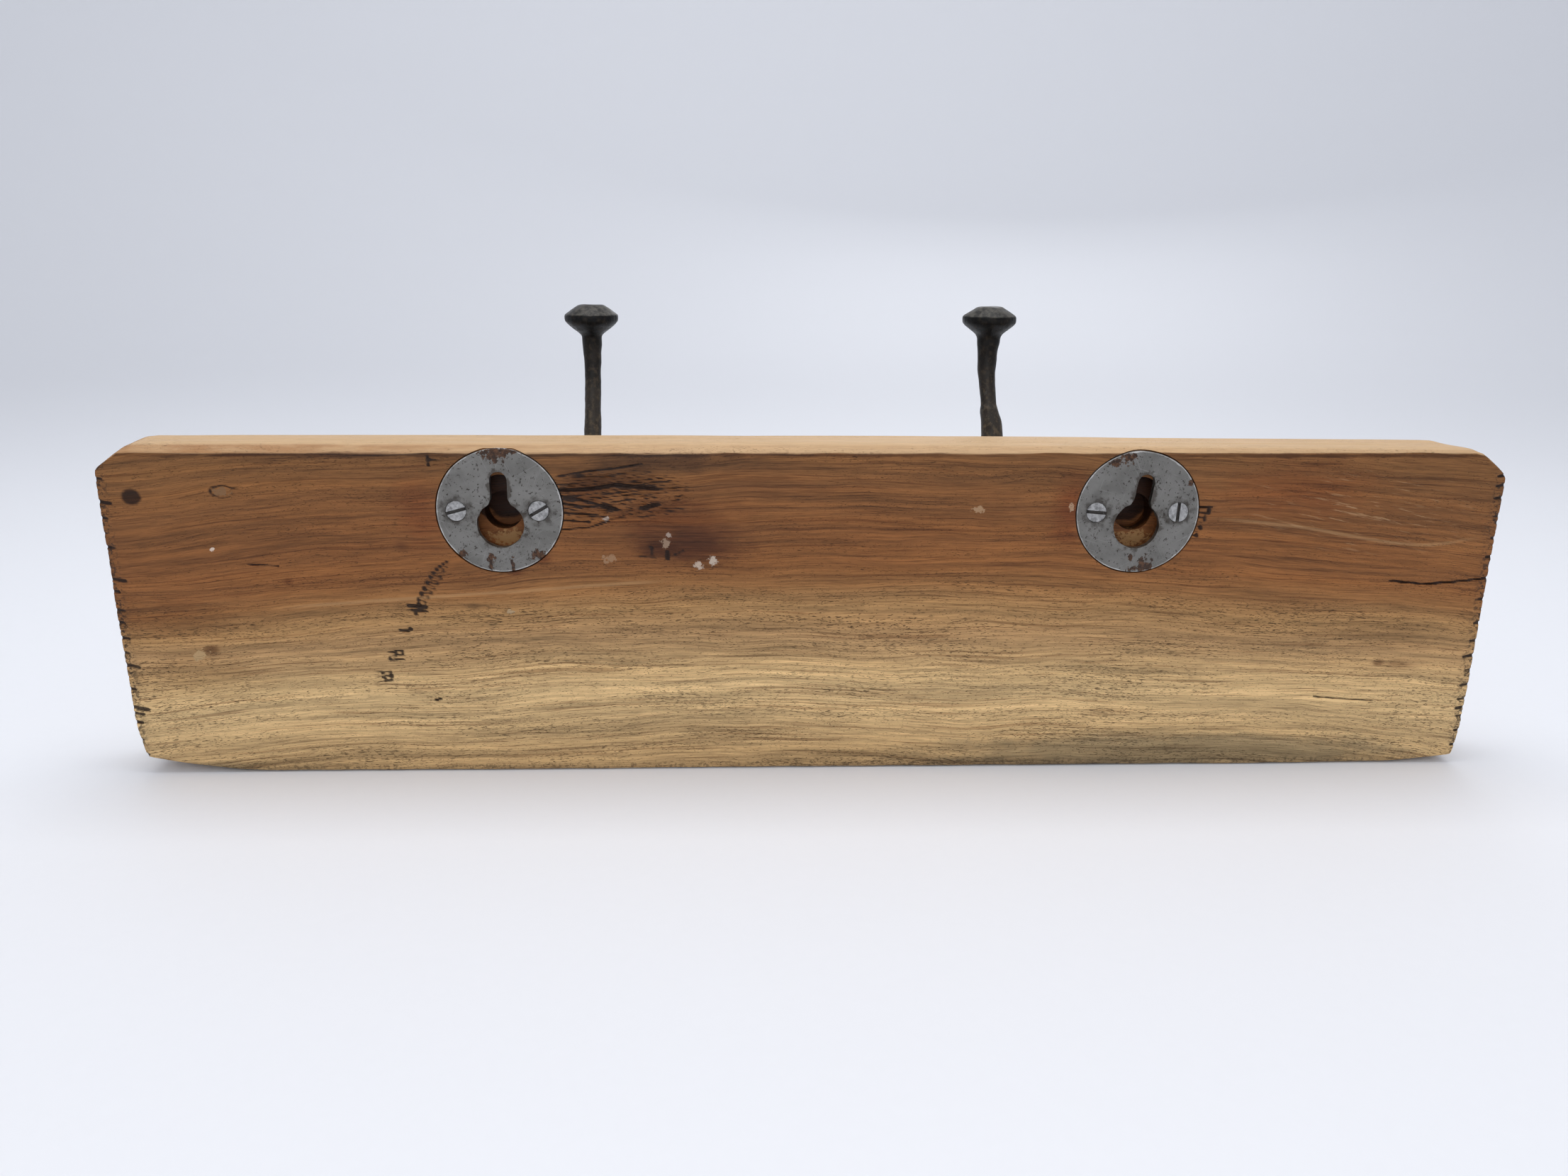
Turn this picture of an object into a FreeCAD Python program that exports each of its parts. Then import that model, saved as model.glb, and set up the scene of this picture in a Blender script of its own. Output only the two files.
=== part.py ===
import FreeCAD, Part
import math
import os
import Sketcher

# Wall hook rack: a thick reclaimed board that hangs on two keyhole plates let into its back,
# with two forged double hooks on its front. Millimetres. The origin is the centre of the board's
# back face, +Y points out of that face to the wall, -Y to the room, +X right from the room, +Z up.

doc = FreeCAD.newDocument("wall_hook_rack")
V = FreeCAD.Vector

# ---------------------------------------------------------------- driving dimensions
dims = doc.addObject("Spreadsheet::Sheet", "dims")
SIZES = {
    # board: 17 x 4 1/8 x 7/8 in
    "board_length": 430, "board_height": 106, "board_thickness": 22,
    "corner_round": 5, "top_bevel_rise": 2.7, "top_bevel_depth": 4.5,
    # keyhole plates: 1 1/2 in discs sunk just under the back face
    "plate_radius": 19, "plate_thickness": 2, "plate_sink": 0.4,
    "plate_edge_break": 0.25, "recess_gap": 0.4,
    "plate_right_x": 95.7, "plate_right_z": 32.8,
    "plate_left_x": -100.1, "plate_left_z": 32.2,
    # keyhole: a round entry and a slot above it
    "entry_radius": 7.1, "entry_drop": 4.3, "slot_width": 5.2, "slot_top": 12,
    "keyhole_right_lean": 0, "keyhole_left_lean": 8.5,
    # the hole drilled in the wood behind each entry, and the channel behind each slot
    "drill_depth": 13, "channel_radius": 5.2, "channel_depth": 7,
    # No. 5 plate screws, their distances from the plate's centre and the turn of their slots
    "plate_head_radius": 3.2, "plate_shank_radius": 1.55, "plate_screw_length": 12.5,
    "plate_right_outer": 13.2, "plate_right_inner": 11.7,
    "plate_left_outer": 12.8, "plate_left_inner": 12.8,
    "right_outer_turn": 15, "right_inner_turn": 30, "left_outer_turn": 88, "left_inner_turn": -5,
    # hooks: plate, arm and lower crook
    "hook_right_x": 72.7, "hook_left_x": -62,
    "hook_plate_width": 36, "hook_plate_height": 54, "hook_plate_thickness": 3.5,
    "hook_plate_round": 9, "hook_plate_edge": 0.8,
    "arm_radius": 3.1, "root_embed": 1, "root_out": 9.5,
    "boss_radius": 4.8, "boss_out": 6.5, "boss_edge": 1.5,
    "arm_root_z": 6, "knob_out": 32, "arm_shoulder_z": 73, "neck_z": 81.5,
    "crook_root_z": -7, "crook_inner_out": 11, "crook_outer_out": 35,
    "crook_bottom_z": -47.5, "crook_tip_z": -31,
    "elbow_bend": 8, "shoulder_bend": 30, "crook_bend": 11,
    # knobs: a large one on the arm and a small one on the crook
    "knob_radius": 9, "knob_top_radius": 4.6, "knob_cone": 5.8, "knob_band": 1.6, "knob_dome": 3.2,
    "tip_radius": 6, "tip_top_radius": 3.4, "tip_cone": 2.9, "tip_band": 1.2, "tip_dome": 2,
    "neck_lap": 1, "neck_flare": 0.5,
    # No. 8 hook screws
    "hook_head_radius": 4.1, "hook_shank_radius": 2.1, "hook_screw_length": 18,
    "hook_screw_x": 12, "hook_screw_z": 6, "hook_screw_turn": 35,
    # shared by both screws
    "screw_slot_width": 1, "screw_slot_depth": 1, "screw_point": 4, "shank_gap": 0.05,
    "pilot_spare": 0.5, "cut_over": 0.5,
}
for row, (alias, value) in enumerate(SIZES.items(), start=1):
    dims.set("A%d" % row, alias)
    dims.set("B%d" % row, str(value))
    dims.setAlias("B%d" % row, alias)
doc.recompute()


def size(alias):
    return float(dims.get(alias))


# ---------------------------------------------------------------- sketch helpers
def new_body(name):
    body = doc.addObject("PartDesign::Body", name)
    body.Label = name
    return body


def new_sketch(body, name, role, **offsets):
    """A sketch on one of the body's origin planes, shifted by sheet expressions x, y, z."""
    sketch = body.newObject("Sketcher::SketchObject", name)
    plane = next(item for item in body.Origin.OriginFeatures if item.Role == role)
    sketch.AttachmentSupport = [(plane, "")]
    sketch.MapMode = "FlatFace"
    for axis, expression in offsets.items():
        sketch.setExpression(".AttachmentOffset.Base." + axis, expression)
    return sketch


def bind(sketch, expression, kind, *where):
    """Adds one driving constraint whose value follows a sheet expression."""
    value = float(sketch.evalExpression(expression))
    index = sketch.addConstraint(Sketcher.Constraint(kind, *where, value))
    sketch.setExpression("Constraints[%d]" % index, expression)


def pin_point(sketch, geometry, vertex, x, y):
    bind(sketch, x, "DistanceX", -1, 1, geometry, vertex)
    bind(sketch, y, "DistanceY", -1, 1, geometry, vertex)


def value_of(sketch, *expressions):
    return V(*[float(sketch.evalExpression(item)) for item in expressions], 0)


def add_circle(sketch, x, y, radius):
    centre = value_of(sketch, x, y)
    reach = float(sketch.evalExpression(radius))
    circle = sketch.addGeometry(Part.Circle(centre, V(0, 0, 1), reach))
    pin_point(sketch, circle, 3, x, y)
    bind(sketch, radius, "Radius", circle)


def add_polygon(sketch, points, closed=True):
    """Straight edges through points given as pairs of sheet expressions."""
    corners = [value_of(sketch, x, y) for x, y in points]
    pairs = list(zip(corners, corners[1:] + corners[:1]))
    if not closed:
        pairs.pop()
    edges = [sketch.addGeometry(Part.LineSegment(start, end)) for start, end in pairs]
    for before, after in zip(edges, edges[1:]):
        sketch.addConstraint(Sketcher.Constraint("Coincident", before, 2, after, 1))
    if closed:
        sketch.addConstraint(Sketcher.Constraint("Coincident", edges[-1], 2, edges[0], 1))
    for edge, (x, y) in zip(edges, points):
        pin_point(sketch, edge, 1, x, y)
    if not closed:
        pin_point(sketch, edges[-1], 2, *points[-1])
    return edges


def add_rectangle(sketch, half_width, half_height):
    """A rectangle about the sketch's origin."""
    left, low = "-" + half_width, "-" + half_height
    add_polygon(sketch, [(left, low), (half_width, low), (half_width, half_height), (left, half_height)])


def add_upright_slot(sketch, x, low, high, radius):
    """A round-ended slot along the sketch's vertical, by the centres of its two ends."""
    reach = float(sketch.evalExpression(radius))
    bottom, top = value_of(sketch, x, low), value_of(sketch, x, high)
    normal = V(0, 0, 1)
    head = sketch.addGeometry(Part.ArcOfCircle(Part.Circle(top, normal, reach), 0, math.pi))
    foot = sketch.addGeometry(Part.ArcOfCircle(Part.Circle(bottom, normal, reach), math.pi, 2 * math.pi))
    side = V(reach, 0, 0)
    left = sketch.addGeometry(Part.LineSegment(top - side, bottom - side))
    right = sketch.addGeometry(Part.LineSegment(bottom + side, top + side))
    around = (head, left, foot, right, head)
    for before, after in zip(around, around[1:]):
        sketch.addConstraint(Sketcher.Constraint("Tangent", before, 2, after, 1))
    pin_point(sketch, head, 3, x, high)
    pin_point(sketch, foot, 3, x, low)
    bind(sketch, radius, "Radius", head)


# ---------------------------------------------------------------- feature helpers
def add_pad(body, name, sketch, length):
    pad = body.newObject("PartDesign::Pad", name)
    pad.Profile = sketch
    pad.setExpression("Length", length)
    return pad


def add_pocket(body, name, sketch, length, reverse):
    pocket = body.newObject("PartDesign::Pocket", name)
    pocket.Profile = sketch
    pocket.setExpression("Length", length)
    pocket.Reversed = reverse
    return pocket


def add_turned(body, kind, name, sketch):
    turned = body.newObject("PartDesign::" + kind, name)
    turned.Profile = sketch
    turned.ReferenceAxis = (sketch, ["V_Axis"])
    turned.Angle = 360
    return turned


def dress_edges(body, kind, name, base, chosen):
    """A fillet or chamfer on every edge of the last feature that the test picks."""
    doc.recompute()
    dress = body.newObject("PartDesign::" + kind, name)
    edges = enumerate(base.Shape.Edges, start=1)
    dress.Base = (base, ["Edge%d" % number for number, edge in edges if chosen(edge)])
    return dress


def lies_at(edge, y):
    """True where the whole edge lies in the plane at the given Y."""
    return max(abs(edge.BoundBox.YMin - y), abs(edge.BoundBox.YMax - y)) < 0.001


def runs_through(edge, thickness):
    """True where the edge runs from one face of a slab to the other."""
    return abs(edge.BoundBox.YLength - thickness) < 0.01


def lean_about(sketch, x, y, side):
    """Moves a sketch's origin to a keyhole's entry and turns it to that keyhole's lean."""
    sketch.AttachmentOffset = FreeCAD.Placement(V(), FreeCAD.Rotation(V(0, 0, 1), 1))
    sketch.setExpression(".AttachmentOffset.Base.x", x)
    sketch.setExpression(".AttachmentOffset.Base.y", y)
    sketch.setExpression(".AttachmentOffset.Rotation.Angle", "dims.keyhole_%s_lean" % side)


SIDES = {"left": -1, "right": 1}
# from the entry's centre up to the centre of the slot's round end
SLOT_RISE = "dims.entry_drop + dims.slot_top - dims.slot_width / 2"

# ---------------------------------------------------------------- board
board = new_body("board")
outline = new_sketch(board, "board_outline", "XZ_Plane")
half_x, half_z = "dims.board_length / 2", "dims.board_height / 2"
add_rectangle(outline, half_x, half_z)
slab = add_pad(board, "board_slab", outline, "dims.board_thickness")

corners = dress_edges(board, "Fillet", "board_corners", slab,
                      lambda edge: runs_through(edge, size("board_thickness")))
corners.setExpression("Radius", "dims.corner_round")

top = size("board_height") / 2
bevel = dress_edges(board, "Chamfer", "board_top_bevel", corners,
                    lambda edge: lies_at(edge, 0) and edge.BoundBox.ZMin > top - 0.001)
bevel.ChamferType = "Two distances"
bevel.setExpression("Size", "dims.top_bevel_rise")
bevel.setExpression("Size2", "dims.top_bevel_depth")

# round recesses that take the plates
recess = new_sketch(board, "plate_recess_circles", "XZ_Plane")
for side in SIDES:
    x, z = "dims.plate_%s_x" % side, "dims.plate_%s_z" % side
    add_circle(recess, x, z, "dims.plate_radius + dims.recess_gap")
add_pocket(board, "plate_recesses", recess, "dims.plate_sink + dims.plate_thickness", True)

# behind each keyhole a drilled hole takes the wall screw's head, and a channel lets it slide up
drill = new_sketch(board, "drill_circles", "XZ_Plane")
for side in SIDES:
    entry_z = "dims.plate_%s_z - dims.entry_drop" % side
    add_circle(drill, "dims.plate_%s_x" % side, entry_z, "dims.entry_radius")
add_pocket(board, "drilled_holes", drill, "dims.drill_depth", True)
for side in SIDES:
    entry_z = "dims.plate_%s_z - dims.entry_drop" % side
    channel = new_sketch(board, "channel_outline_" + side, "XZ_Plane")
    lean_about(channel, "dims.plate_%s_x" % side, entry_z, side)
    add_upright_slot(channel, "0", "0", SLOT_RISE, "dims.channel_radius")
    add_pocket(board, "channel_" + side, channel, "dims.channel_depth", True)

# pilot holes of the plate screws, from the back, and of the hook screws, from the front
plate_pilots = new_sketch(board, "plate_pilot_circles", "XZ_Plane")
hook_pilots = new_sketch(board, "hook_pilot_circles", "XZ_Plane", z="dims.board_thickness")
for side, sign in SIDES.items():
    x, z = "dims.plate_%s_x" % side, "dims.plate_%s_z" % side
    for place, way in (("outer", sign), ("inner", -sign)):
        add_circle(plate_pilots, "%s + %d * dims.plate_%s_%s" % (x, way, side, place), z,
                   "dims.plate_shank_radius + dims.shank_gap")
    for across in (-1, 1):
        add_circle(hook_pilots, "dims.hook_%s_x + %d * dims.hook_screw_x" % (side, across),
                   "dims.hook_screw_z", "dims.hook_shank_radius + dims.shank_gap")
add_pocket(board, "plate_pilots", plate_pilots,
           "dims.plate_sink + dims.plate_screw_length + dims.pilot_spare", True)
add_pocket(board, "hook_pilots", hook_pilots,
           "dims.hook_screw_length - dims.hook_plate_thickness + dims.pilot_spare", False)


# ---------------------------------------------------------------- keyhole plates
def cut_countersink(body, name, x, z, kind, thickness, mouth, way):
    """A countersunk clearance hole along Y, whose mouth is at the given Y and faces way * Y."""
    profile = new_sketch(body, name + "_profile", "XY_Plane", x=x, y=mouth, z=z)
    head = "dims.%s_head_radius + dims.shank_gap" % kind
    shank = "dims.%s_shank_radius + 2 * dims.shank_gap" % kind
    above, below = "dims.cut_over", "-%s - dims.cut_over" % thickness
    depths = (above, above, "0", "%s - (%s)" % (shank, head), below, below)
    radii = ("0", head, head, shank, shank, "0")
    add_polygon(profile, [(radius, "%d * (%s)" % (way, depth)) for radius, depth in zip(radii, depths)])
    return add_turned(body, "Groove", name, profile)


def make_keyhole_plate(side, sign):
    """A steel disc with a keyhole and two countersunk holes, modelled about its own centre."""
    body = new_body("keyhole_plate_" + side)
    disc = new_sketch(body, "disc_%s_circle" % side, "XZ_Plane")
    add_circle(disc, "0", "0", "dims.plate_radius")
    blank = add_pad(body, "disc_" + side, disc, "dims.plate_thickness")
    rim = dress_edges(body, "Chamfer", "disc_%s_edge" % side, blank, lambda edge: lies_at(edge, 0))
    rim.setExpression("Size", "dims.plate_edge_break")

    entry = new_sketch(body, "entry_%s_circle" % side, "XZ_Plane")
    add_circle(entry, "0", "-dims.entry_drop", "dims.entry_radius")
    add_pocket(body, "entry_" + side, entry, "dims.plate_thickness", True)
    slot = new_sketch(body, "slot_%s_outline" % side, "XZ_Plane")
    lean_about(slot, "0", "-dims.entry_drop", side)
    add_upright_slot(slot, "0", "0", SLOT_RISE, "dims.slot_width / 2")
    add_pocket(body, "slot_" + side, slot, "dims.plate_thickness", True)

    for place, way in (("outer", sign), ("inner", -sign)):
        across = "%d * dims.plate_%s_%s" % (way, side, place)
        cut_countersink(body, "countersink_%s_%s" % (side, place), across, "0", "plate",
                        "dims.plate_thickness", "0", 1)
    body.setExpression("Placement.Base.x", "dims.plate_%s_x" % side)
    body.setExpression("Placement.Base.y", "-dims.plate_sink")
    body.setExpression("Placement.Base.z", "dims.plate_%s_z" % side)
    return body


plates = [make_keyhole_plate(side, sign) for side, sign in SIDES.items()]


# ---------------------------------------------------------------- screws
def make_screw(name, kind, x, y, z, turn, from_front=False):
    """A slotted countersunk wood screw along Y, with its head's face at the origin."""
    body = new_body(name)
    head, shank = "dims.%s_head_radius" % kind, "dims.%s_shank_radius" % kind
    length = "dims.%s_screw_length" % kind
    profile = new_sketch(body, name + "_profile", "XY_Plane")
    add_polygon(profile, [("0", "0"), (head, "0"), (shank, "%s - %s" % (shank, head)),
                          (shank, "dims.screw_point - " + length), ("0", "-" + length)])
    add_turned(body, "Revolution", name + "_turned", profile)
    slot = new_sketch(body, name + "_slot_outline", "XZ_Plane")
    add_rectangle(slot, head, "dims.screw_slot_width / 2")
    add_pocket(body, name + "_slot", slot, "dims.screw_slot_depth", True)
    turn_about_y = FreeCAD.Rotation(V(0, 1, 0), size(turn))
    half_turn = FreeCAD.Rotation(V(0, 0, 1), 180 if from_front else 0)
    body.Placement = FreeCAD.Placement(V(), half_turn.multiply(turn_about_y))
    for axis, expression in zip("xyz", (x, y, z)):
        body.setExpression("Placement.Base." + axis, expression)
    return body


screws = []
for side, sign in SIDES.items():
    for place, way in (("outer", sign), ("inner", -sign)):
        screws.append(make_screw("plate_screw_%s_%s" % (side, place), "plate",
                                 "dims.plate_%s_x + %d * dims.plate_%s_%s" % (side, way, side, place),
                                 "-dims.plate_sink", "dims.plate_%s_z" % side, "%s_%s_turn" % (side, place)))
        screws.append(make_screw("hook_screw_%s_%s" % (side, place), "hook",
                                 "dims.hook_%s_x + %d * dims.hook_screw_x" % (side, way),
                                 "-dims.board_thickness - dims.hook_plate_thickness", "dims.hook_screw_z",
                                 "hook_screw_turn", from_front=True))


# ---------------------------------------------------------------- hooks
def add_bar(body, name, points, bends):
    """A round bar swept along straight runs in the YZ plane, each corner rounded to its own bend."""
    route = new_sketch(body, name + "_route", "YZ_Plane")
    runs = add_polygon(route, points, closed=False)
    middles = [(run.StartPoint + run.EndPoint) / 2 for run in route.Geometry]
    for before, after, bend in zip(runs, runs[1:], bends):
        radius = float(route.evalExpression(bend))
        route.fillet(before, after, middles[before], middles[after], radius, True, True)
        arcs = [index for index, item in enumerate(route.Geometry) if hasattr(item, "Radius")]
        bind(route, bend, "Radius", arcs[-1])
    section = body.newObject("Sketcher::SketchObject", name + "_section")
    section.AttachmentSupport = [(route, "Edge1")]
    section.MapMode = "NormalToEdge"
    add_circle(section, "0", "0", "dims.arm_radius")
    bar = body.newObject("PartDesign::AdditivePipe", name)
    bar.Profile = section
    bar.Spine = (route, [""])
    return bar


def add_knob(body, name, out, base_z, part):
    """A mushroom head: a cone widening upwards, a short band and a low dome with a flat top."""
    profile = new_sketch(body, name + "_profile", "YZ_Plane", x="-" + out, y=base_z)
    names = ("radius", "top_radius", "cone", "band", "dome")
    wide, flat, cone, band, dome = ["dims.%s_%s" % (part, item) for item in names]
    shoulder = "%s + %s" % (cone, band)
    top = "%s + %s" % (shoulder, dome)
    add_polygon(profile, [("0", "-dims.neck_lap"), ("dims.arm_radius", "-dims.neck_lap"),
                          ("dims.arm_radius + dims.neck_flare", "0"), (wide, cone), (wide, shoulder),
                          ("%s * 0.6 + %s * 0.4" % (wide, flat), "%s - 0.3 * %s" % (top, dome)),
                          (flat, top), ("0", top)])
    return add_turned(body, "Revolution", name, profile)


def make_hook(side):
    """One forged piece, modelled from the board's front face: plate, arm with its knob, and lower crook."""
    body = new_body("hook_" + side)
    outline = new_sketch(body, "hook_%s_outline" % side, "XZ_Plane")
    add_rectangle(outline, "dims.hook_plate_width / 2", "dims.hook_plate_height / 2")
    blank = add_pad(body, "hook_%s_blank" % side, outline, "dims.hook_plate_thickness")
    thickness = size("hook_plate_thickness")
    rounded = dress_edges(body, "Fillet", "hook_%s_corners" % side, blank,
                          lambda edge: runs_through(edge, thickness))
    rounded.setExpression("Radius", "dims.hook_plate_round")
    eased = dress_edges(body, "Fillet", "hook_%s_front_edge" % side, rounded,
                        lambda edge: lies_at(edge, -thickness))
    eased.setExpression("Radius", "dims.hook_plate_edge")

    boss = new_sketch(body, "hook_%s_boss_outline" % side, "XZ_Plane")
    add_upright_slot(boss, "0", "dims.crook_root_z", "dims.arm_root_z", "dims.boss_radius")
    swell = add_pad(body, "hook_%s_boss" % side, boss, "dims.boss_out")
    softened = dress_edges(body, "Fillet", "hook_%s_boss_edge" % side, swell,
                           lambda edge: lies_at(edge, -size("boss_out")))
    softened.setExpression("Radius", "dims.boss_edge")

    root, elbow = "-dims.root_embed", "-dims.root_out"
    knob_axis, crook_axis = "-dims.knob_out", "-dims.crook_outer_out"
    add_bar(body, "arm_" + side, [(root, "dims.arm_root_z"), (elbow, "dims.arm_root_z"),
                                  (knob_axis, "dims.arm_shoulder_z"), (knob_axis, "dims.neck_z")],
            ("dims.elbow_bend", "dims.shoulder_bend"))
    add_bar(body, "crook_" + side, [(root, "dims.crook_root_z"), (elbow, "dims.crook_root_z"),
                                    ("-dims.crook_inner_out", "dims.crook_bottom_z"),
                                    (crook_axis, "dims.crook_bottom_z"), (crook_axis, "dims.crook_tip_z")],
            ("dims.elbow_bend", "dims.crook_bend", "dims.crook_bend"))
    add_knob(body, "knob_" + side, "dims.knob_out", "dims.neck_z", "knob")
    add_knob(body, "tip_" + side, "dims.crook_outer_out", "dims.crook_tip_z", "tip")
    for across in (-1, 1):
        place = "outer" if across == SIDES[side] else "inner"
        cut_countersink(body, "hook_countersink_%s_%s" % (side, place), "%d * dims.hook_screw_x" % across,
                        "dims.hook_screw_z", "hook", "dims.hook_plate_thickness",
                        "-dims.hook_plate_thickness", -1)
    body.setExpression("Placement.Base.x", "dims.hook_%s_x" % side)
    body.setExpression("Placement.Base.y", "-dims.board_thickness")
    return body


hooks = [make_hook(side) for side in SIDES]

# ---------------------------------------------------------------- checks and files
doc.recompute()
for item in doc.Objects:
    if "Invalid" in item.State or "Error" in item.State:
        raise RuntimeError("%s failed: %s" % (item.Name, item.State))

os.makedirs("parts", exist_ok=True)
for node in [board] + plates + screws + hooks:
    if node.Shape.isNull() or not node.Shape.isValid() or len(node.Shape.Solids) != 1:
        raise RuntimeError("%s isn't one valid solid" % node.Label)
    node.Shape.exportStep("parts/%s.step" % node.Label)
    box = node.Shape.BoundBox
    print("%-26s %9.1f mm3 " % (node.Label, node.Shape.Volume), box)
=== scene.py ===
import math

import bmesh
import bpy
import numpy as np
from mathutils import Matrix, Vector, noise


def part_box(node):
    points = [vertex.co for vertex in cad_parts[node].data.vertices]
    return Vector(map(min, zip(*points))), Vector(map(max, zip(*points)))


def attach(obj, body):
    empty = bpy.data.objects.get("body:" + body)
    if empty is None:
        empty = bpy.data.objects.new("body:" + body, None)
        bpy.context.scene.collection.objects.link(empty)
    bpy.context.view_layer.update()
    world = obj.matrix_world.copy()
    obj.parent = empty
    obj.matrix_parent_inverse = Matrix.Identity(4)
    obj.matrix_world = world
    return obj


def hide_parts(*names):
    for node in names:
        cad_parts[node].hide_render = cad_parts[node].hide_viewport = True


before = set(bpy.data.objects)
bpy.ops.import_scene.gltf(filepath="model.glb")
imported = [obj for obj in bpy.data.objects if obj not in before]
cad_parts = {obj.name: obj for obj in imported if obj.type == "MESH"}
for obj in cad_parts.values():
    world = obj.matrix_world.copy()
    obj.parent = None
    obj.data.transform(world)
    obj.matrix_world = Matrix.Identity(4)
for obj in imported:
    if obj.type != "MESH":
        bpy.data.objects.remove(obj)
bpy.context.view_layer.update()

# ---------------------------------------------------------------- the board
# One thick plank of reclaimed hardwood, brown heart above and pale sapwood below, sawn and then
# worn round along its arrises. Its back is let in for the two keyhole plates and hollowed out
# behind them, and pilot holes take every screw.
MM = 0.001
SIDES = {"left": -1, "right": 1}


def make_active(piece):
    for item in bpy.context.selected_objects:
        item.select_set(False)
    piece.select_set(True)
    bpy.context.view_layer.objects.active = piece


def take_new(name):
    """The object that an operator has just added, renamed, with its place put into its mesh."""
    piece = bpy.context.active_object
    piece.name = piece.data.name = name
    make_active(piece)
    bpy.ops.object.transform_apply(location=True, rotation=True, scale=True)
    return piece


def add_block(name, low, high):
    """A box between two corners, given in millimetres."""
    low, high = Vector(low) * MM, Vector(high) * MM
    bpy.ops.mesh.primitive_cube_add(size=1, location=(low + high) / 2, scale=high - low)
    return take_new(name)


def subdivide_along(piece, axis, cuts):
    """In edit mode, cuts every edge that runs along an axis, which rules lines across the faces."""
    bpy.ops.mesh.select_mode(type="EDGE")
    bpy.ops.mesh.select_all(action="DESELECT")
    shape = bmesh.from_edit_mesh(piece.data)
    for edge in shape.edges:
        run = edge.verts[0].co - edge.verts[1].co
        edge.select_set(abs(run[axis]) > 0.9 * run.length)
    bmesh.update_edit_mesh(piece.data)
    bpy.ops.mesh.subdivide(number_cuts=cuts)


def refine(piece, wanted, cuts):
    """Divides the faces whose centre, in millimetres, and normal satisfy a test."""
    make_active(piece)
    bpy.ops.object.mode_set(mode="EDIT")
    bpy.ops.mesh.select_mode(type="FACE")
    bpy.ops.mesh.select_all(action="DESELECT")
    shape = bmesh.from_edit_mesh(piece.data)
    for face in shape.faces:
        face.select_set(len(face.verts) == 4 and wanted(face.calc_center_median() / MM, face.normal))
    bmesh.update_edit_mesh(piece.data)
    bpy.ops.mesh.subdivide(number_cuts=cuts)
    bpy.ops.object.mode_set(mode="OBJECT")


def places_of(piece):
    """The mesh's vertices as an array of x, y, z in millimetres."""
    places = np.empty(len(piece.data.vertices) * 3)
    piece.data.vertices.foreach_get("co", places)
    return places.reshape(-1, 3) / MM


def put_places(piece, places):
    piece.data.vertices.foreach_set("co", (places * MM).ravel())
    piece.data.update()


def unevenness(places, reach, seed):
    """Smooth noise from -1 to 1 at each place, with lumps of a given size along x, y and z."""
    offset = Vector((seed, 2.3 * seed, 3.7 * seed))
    scale = Vector([1 / size for size in reach])
    return np.array([noise.noise(Vector(place) * scale + offset) for place in places])


def roughen(piece, amount, reach, seed, along_y=0):
    """Moves each vertex a little in and out, as a file or a hammer leaves it."""
    places = places_of(piece)
    for axis, share in ((0, 1), (1, along_y), (2, 1)):
        places[:, axis] += amount * share * unevenness(places, (reach,) * 3, seed + 5 * axis)
    put_places(piece, places)


def wear_down(piece, flats, softness):
    """Planes a body down to its flats and rounds every arris between them.

    A flat is a point on it, its outward direction, and how far it is sunk at each vertex.
    """
    places = places_of(piece)
    points = np.array([point for point, direction, sunk in flats], float)
    directions = np.array([Vector(direction).normalized() for point, direction, sunk in flats])
    sunk = np.stack([np.broadcast_to(depth, len(places)) for point, direction, depth in flats], 1)
    softness = np.broadcast_to(softness, len(places))[:, None]
    for _ in range(5):
        heights = places @ directions.T - (points * directions).sum(1) + sunk
        peak = heights.max(1, keepdims=True)
        shares = np.exp((heights - peak) / softness)
        total = shares.sum(1, keepdims=True)
        outside = peak + softness * np.log(total)
        slope = (shares / total) @ directions
        places -= slope * outside / (slope ** 2).sum(1, keepdims=True)
    put_places(piece, places)


def apply_modifier(piece, kind, **settings):
    make_active(piece)
    modifier = piece.modifiers.new(kind.title(), kind)
    for name, value in settings.items():
        setattr(modifier, name, value)
    bpy.ops.object.modifier_apply(modifier=modifier.name)


def cut_with(piece, cutter):
    apply_modifier(piece, "BOOLEAN", operation="DIFFERENCE", object=cutter, solver="MANIFOLD")
    bpy.data.objects.remove(cutter)


def add_rod(name, place, radius, front, back, sides=48):
    """A cylinder along Y between two depths, in millimetres, about a place x, z."""
    centre = Vector((place[0], (front + back) / 2, place[1])) * MM
    bpy.ops.mesh.primitive_cylinder_add(vertices=sides, radius=radius * MM, depth=(back - front) * MM,
                                        location=centre, rotation=(math.pi / 2, 0, 0))
    return take_new(name)


def shade_smooth(piece, angle=35):
    make_active(piece)
    bpy.ops.object.shade_smooth_by_angle(angle=math.radians(angle))


def extent_of(node):
    """The two corners of a node's box, in millimetres."""
    return [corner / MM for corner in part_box(node)]


def middle_of(node):
    low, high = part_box(node)
    return (low + high) / 2 / MM


def give_finish(piece, material):
    piece.data.materials.clear()
    piece.data.materials.append(material)


board_low, board_high = extent_of("board")
half_length, half_height, depth = board_high.x, board_high.z, -board_low.y
# the board is ruled with lines along x, z and y, so that its faces can be shaped: axis and number
RULED_LINES = ((0, 240), (2, 72), (1, 14))
board = add_block("hook_board", board_low, board_high)
bpy.ops.object.mode_set(mode="EDIT")
for axis, cuts in RULED_LINES:
    subdivide_along(board, axis, cuts)
bpy.ops.object.mode_set(mode="OBJECT")

# ruled lines crowd towards the arrises, where the wear is
places = places_of(board)
for axis, half, crowding in ((0, half_length, 0.05), (2, half_height, 0.12)):
    share = places[:, axis] / half
    places[:, axis] = half * (share + crowding * np.sin(np.pi * share))
put_places(board, places)

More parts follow.
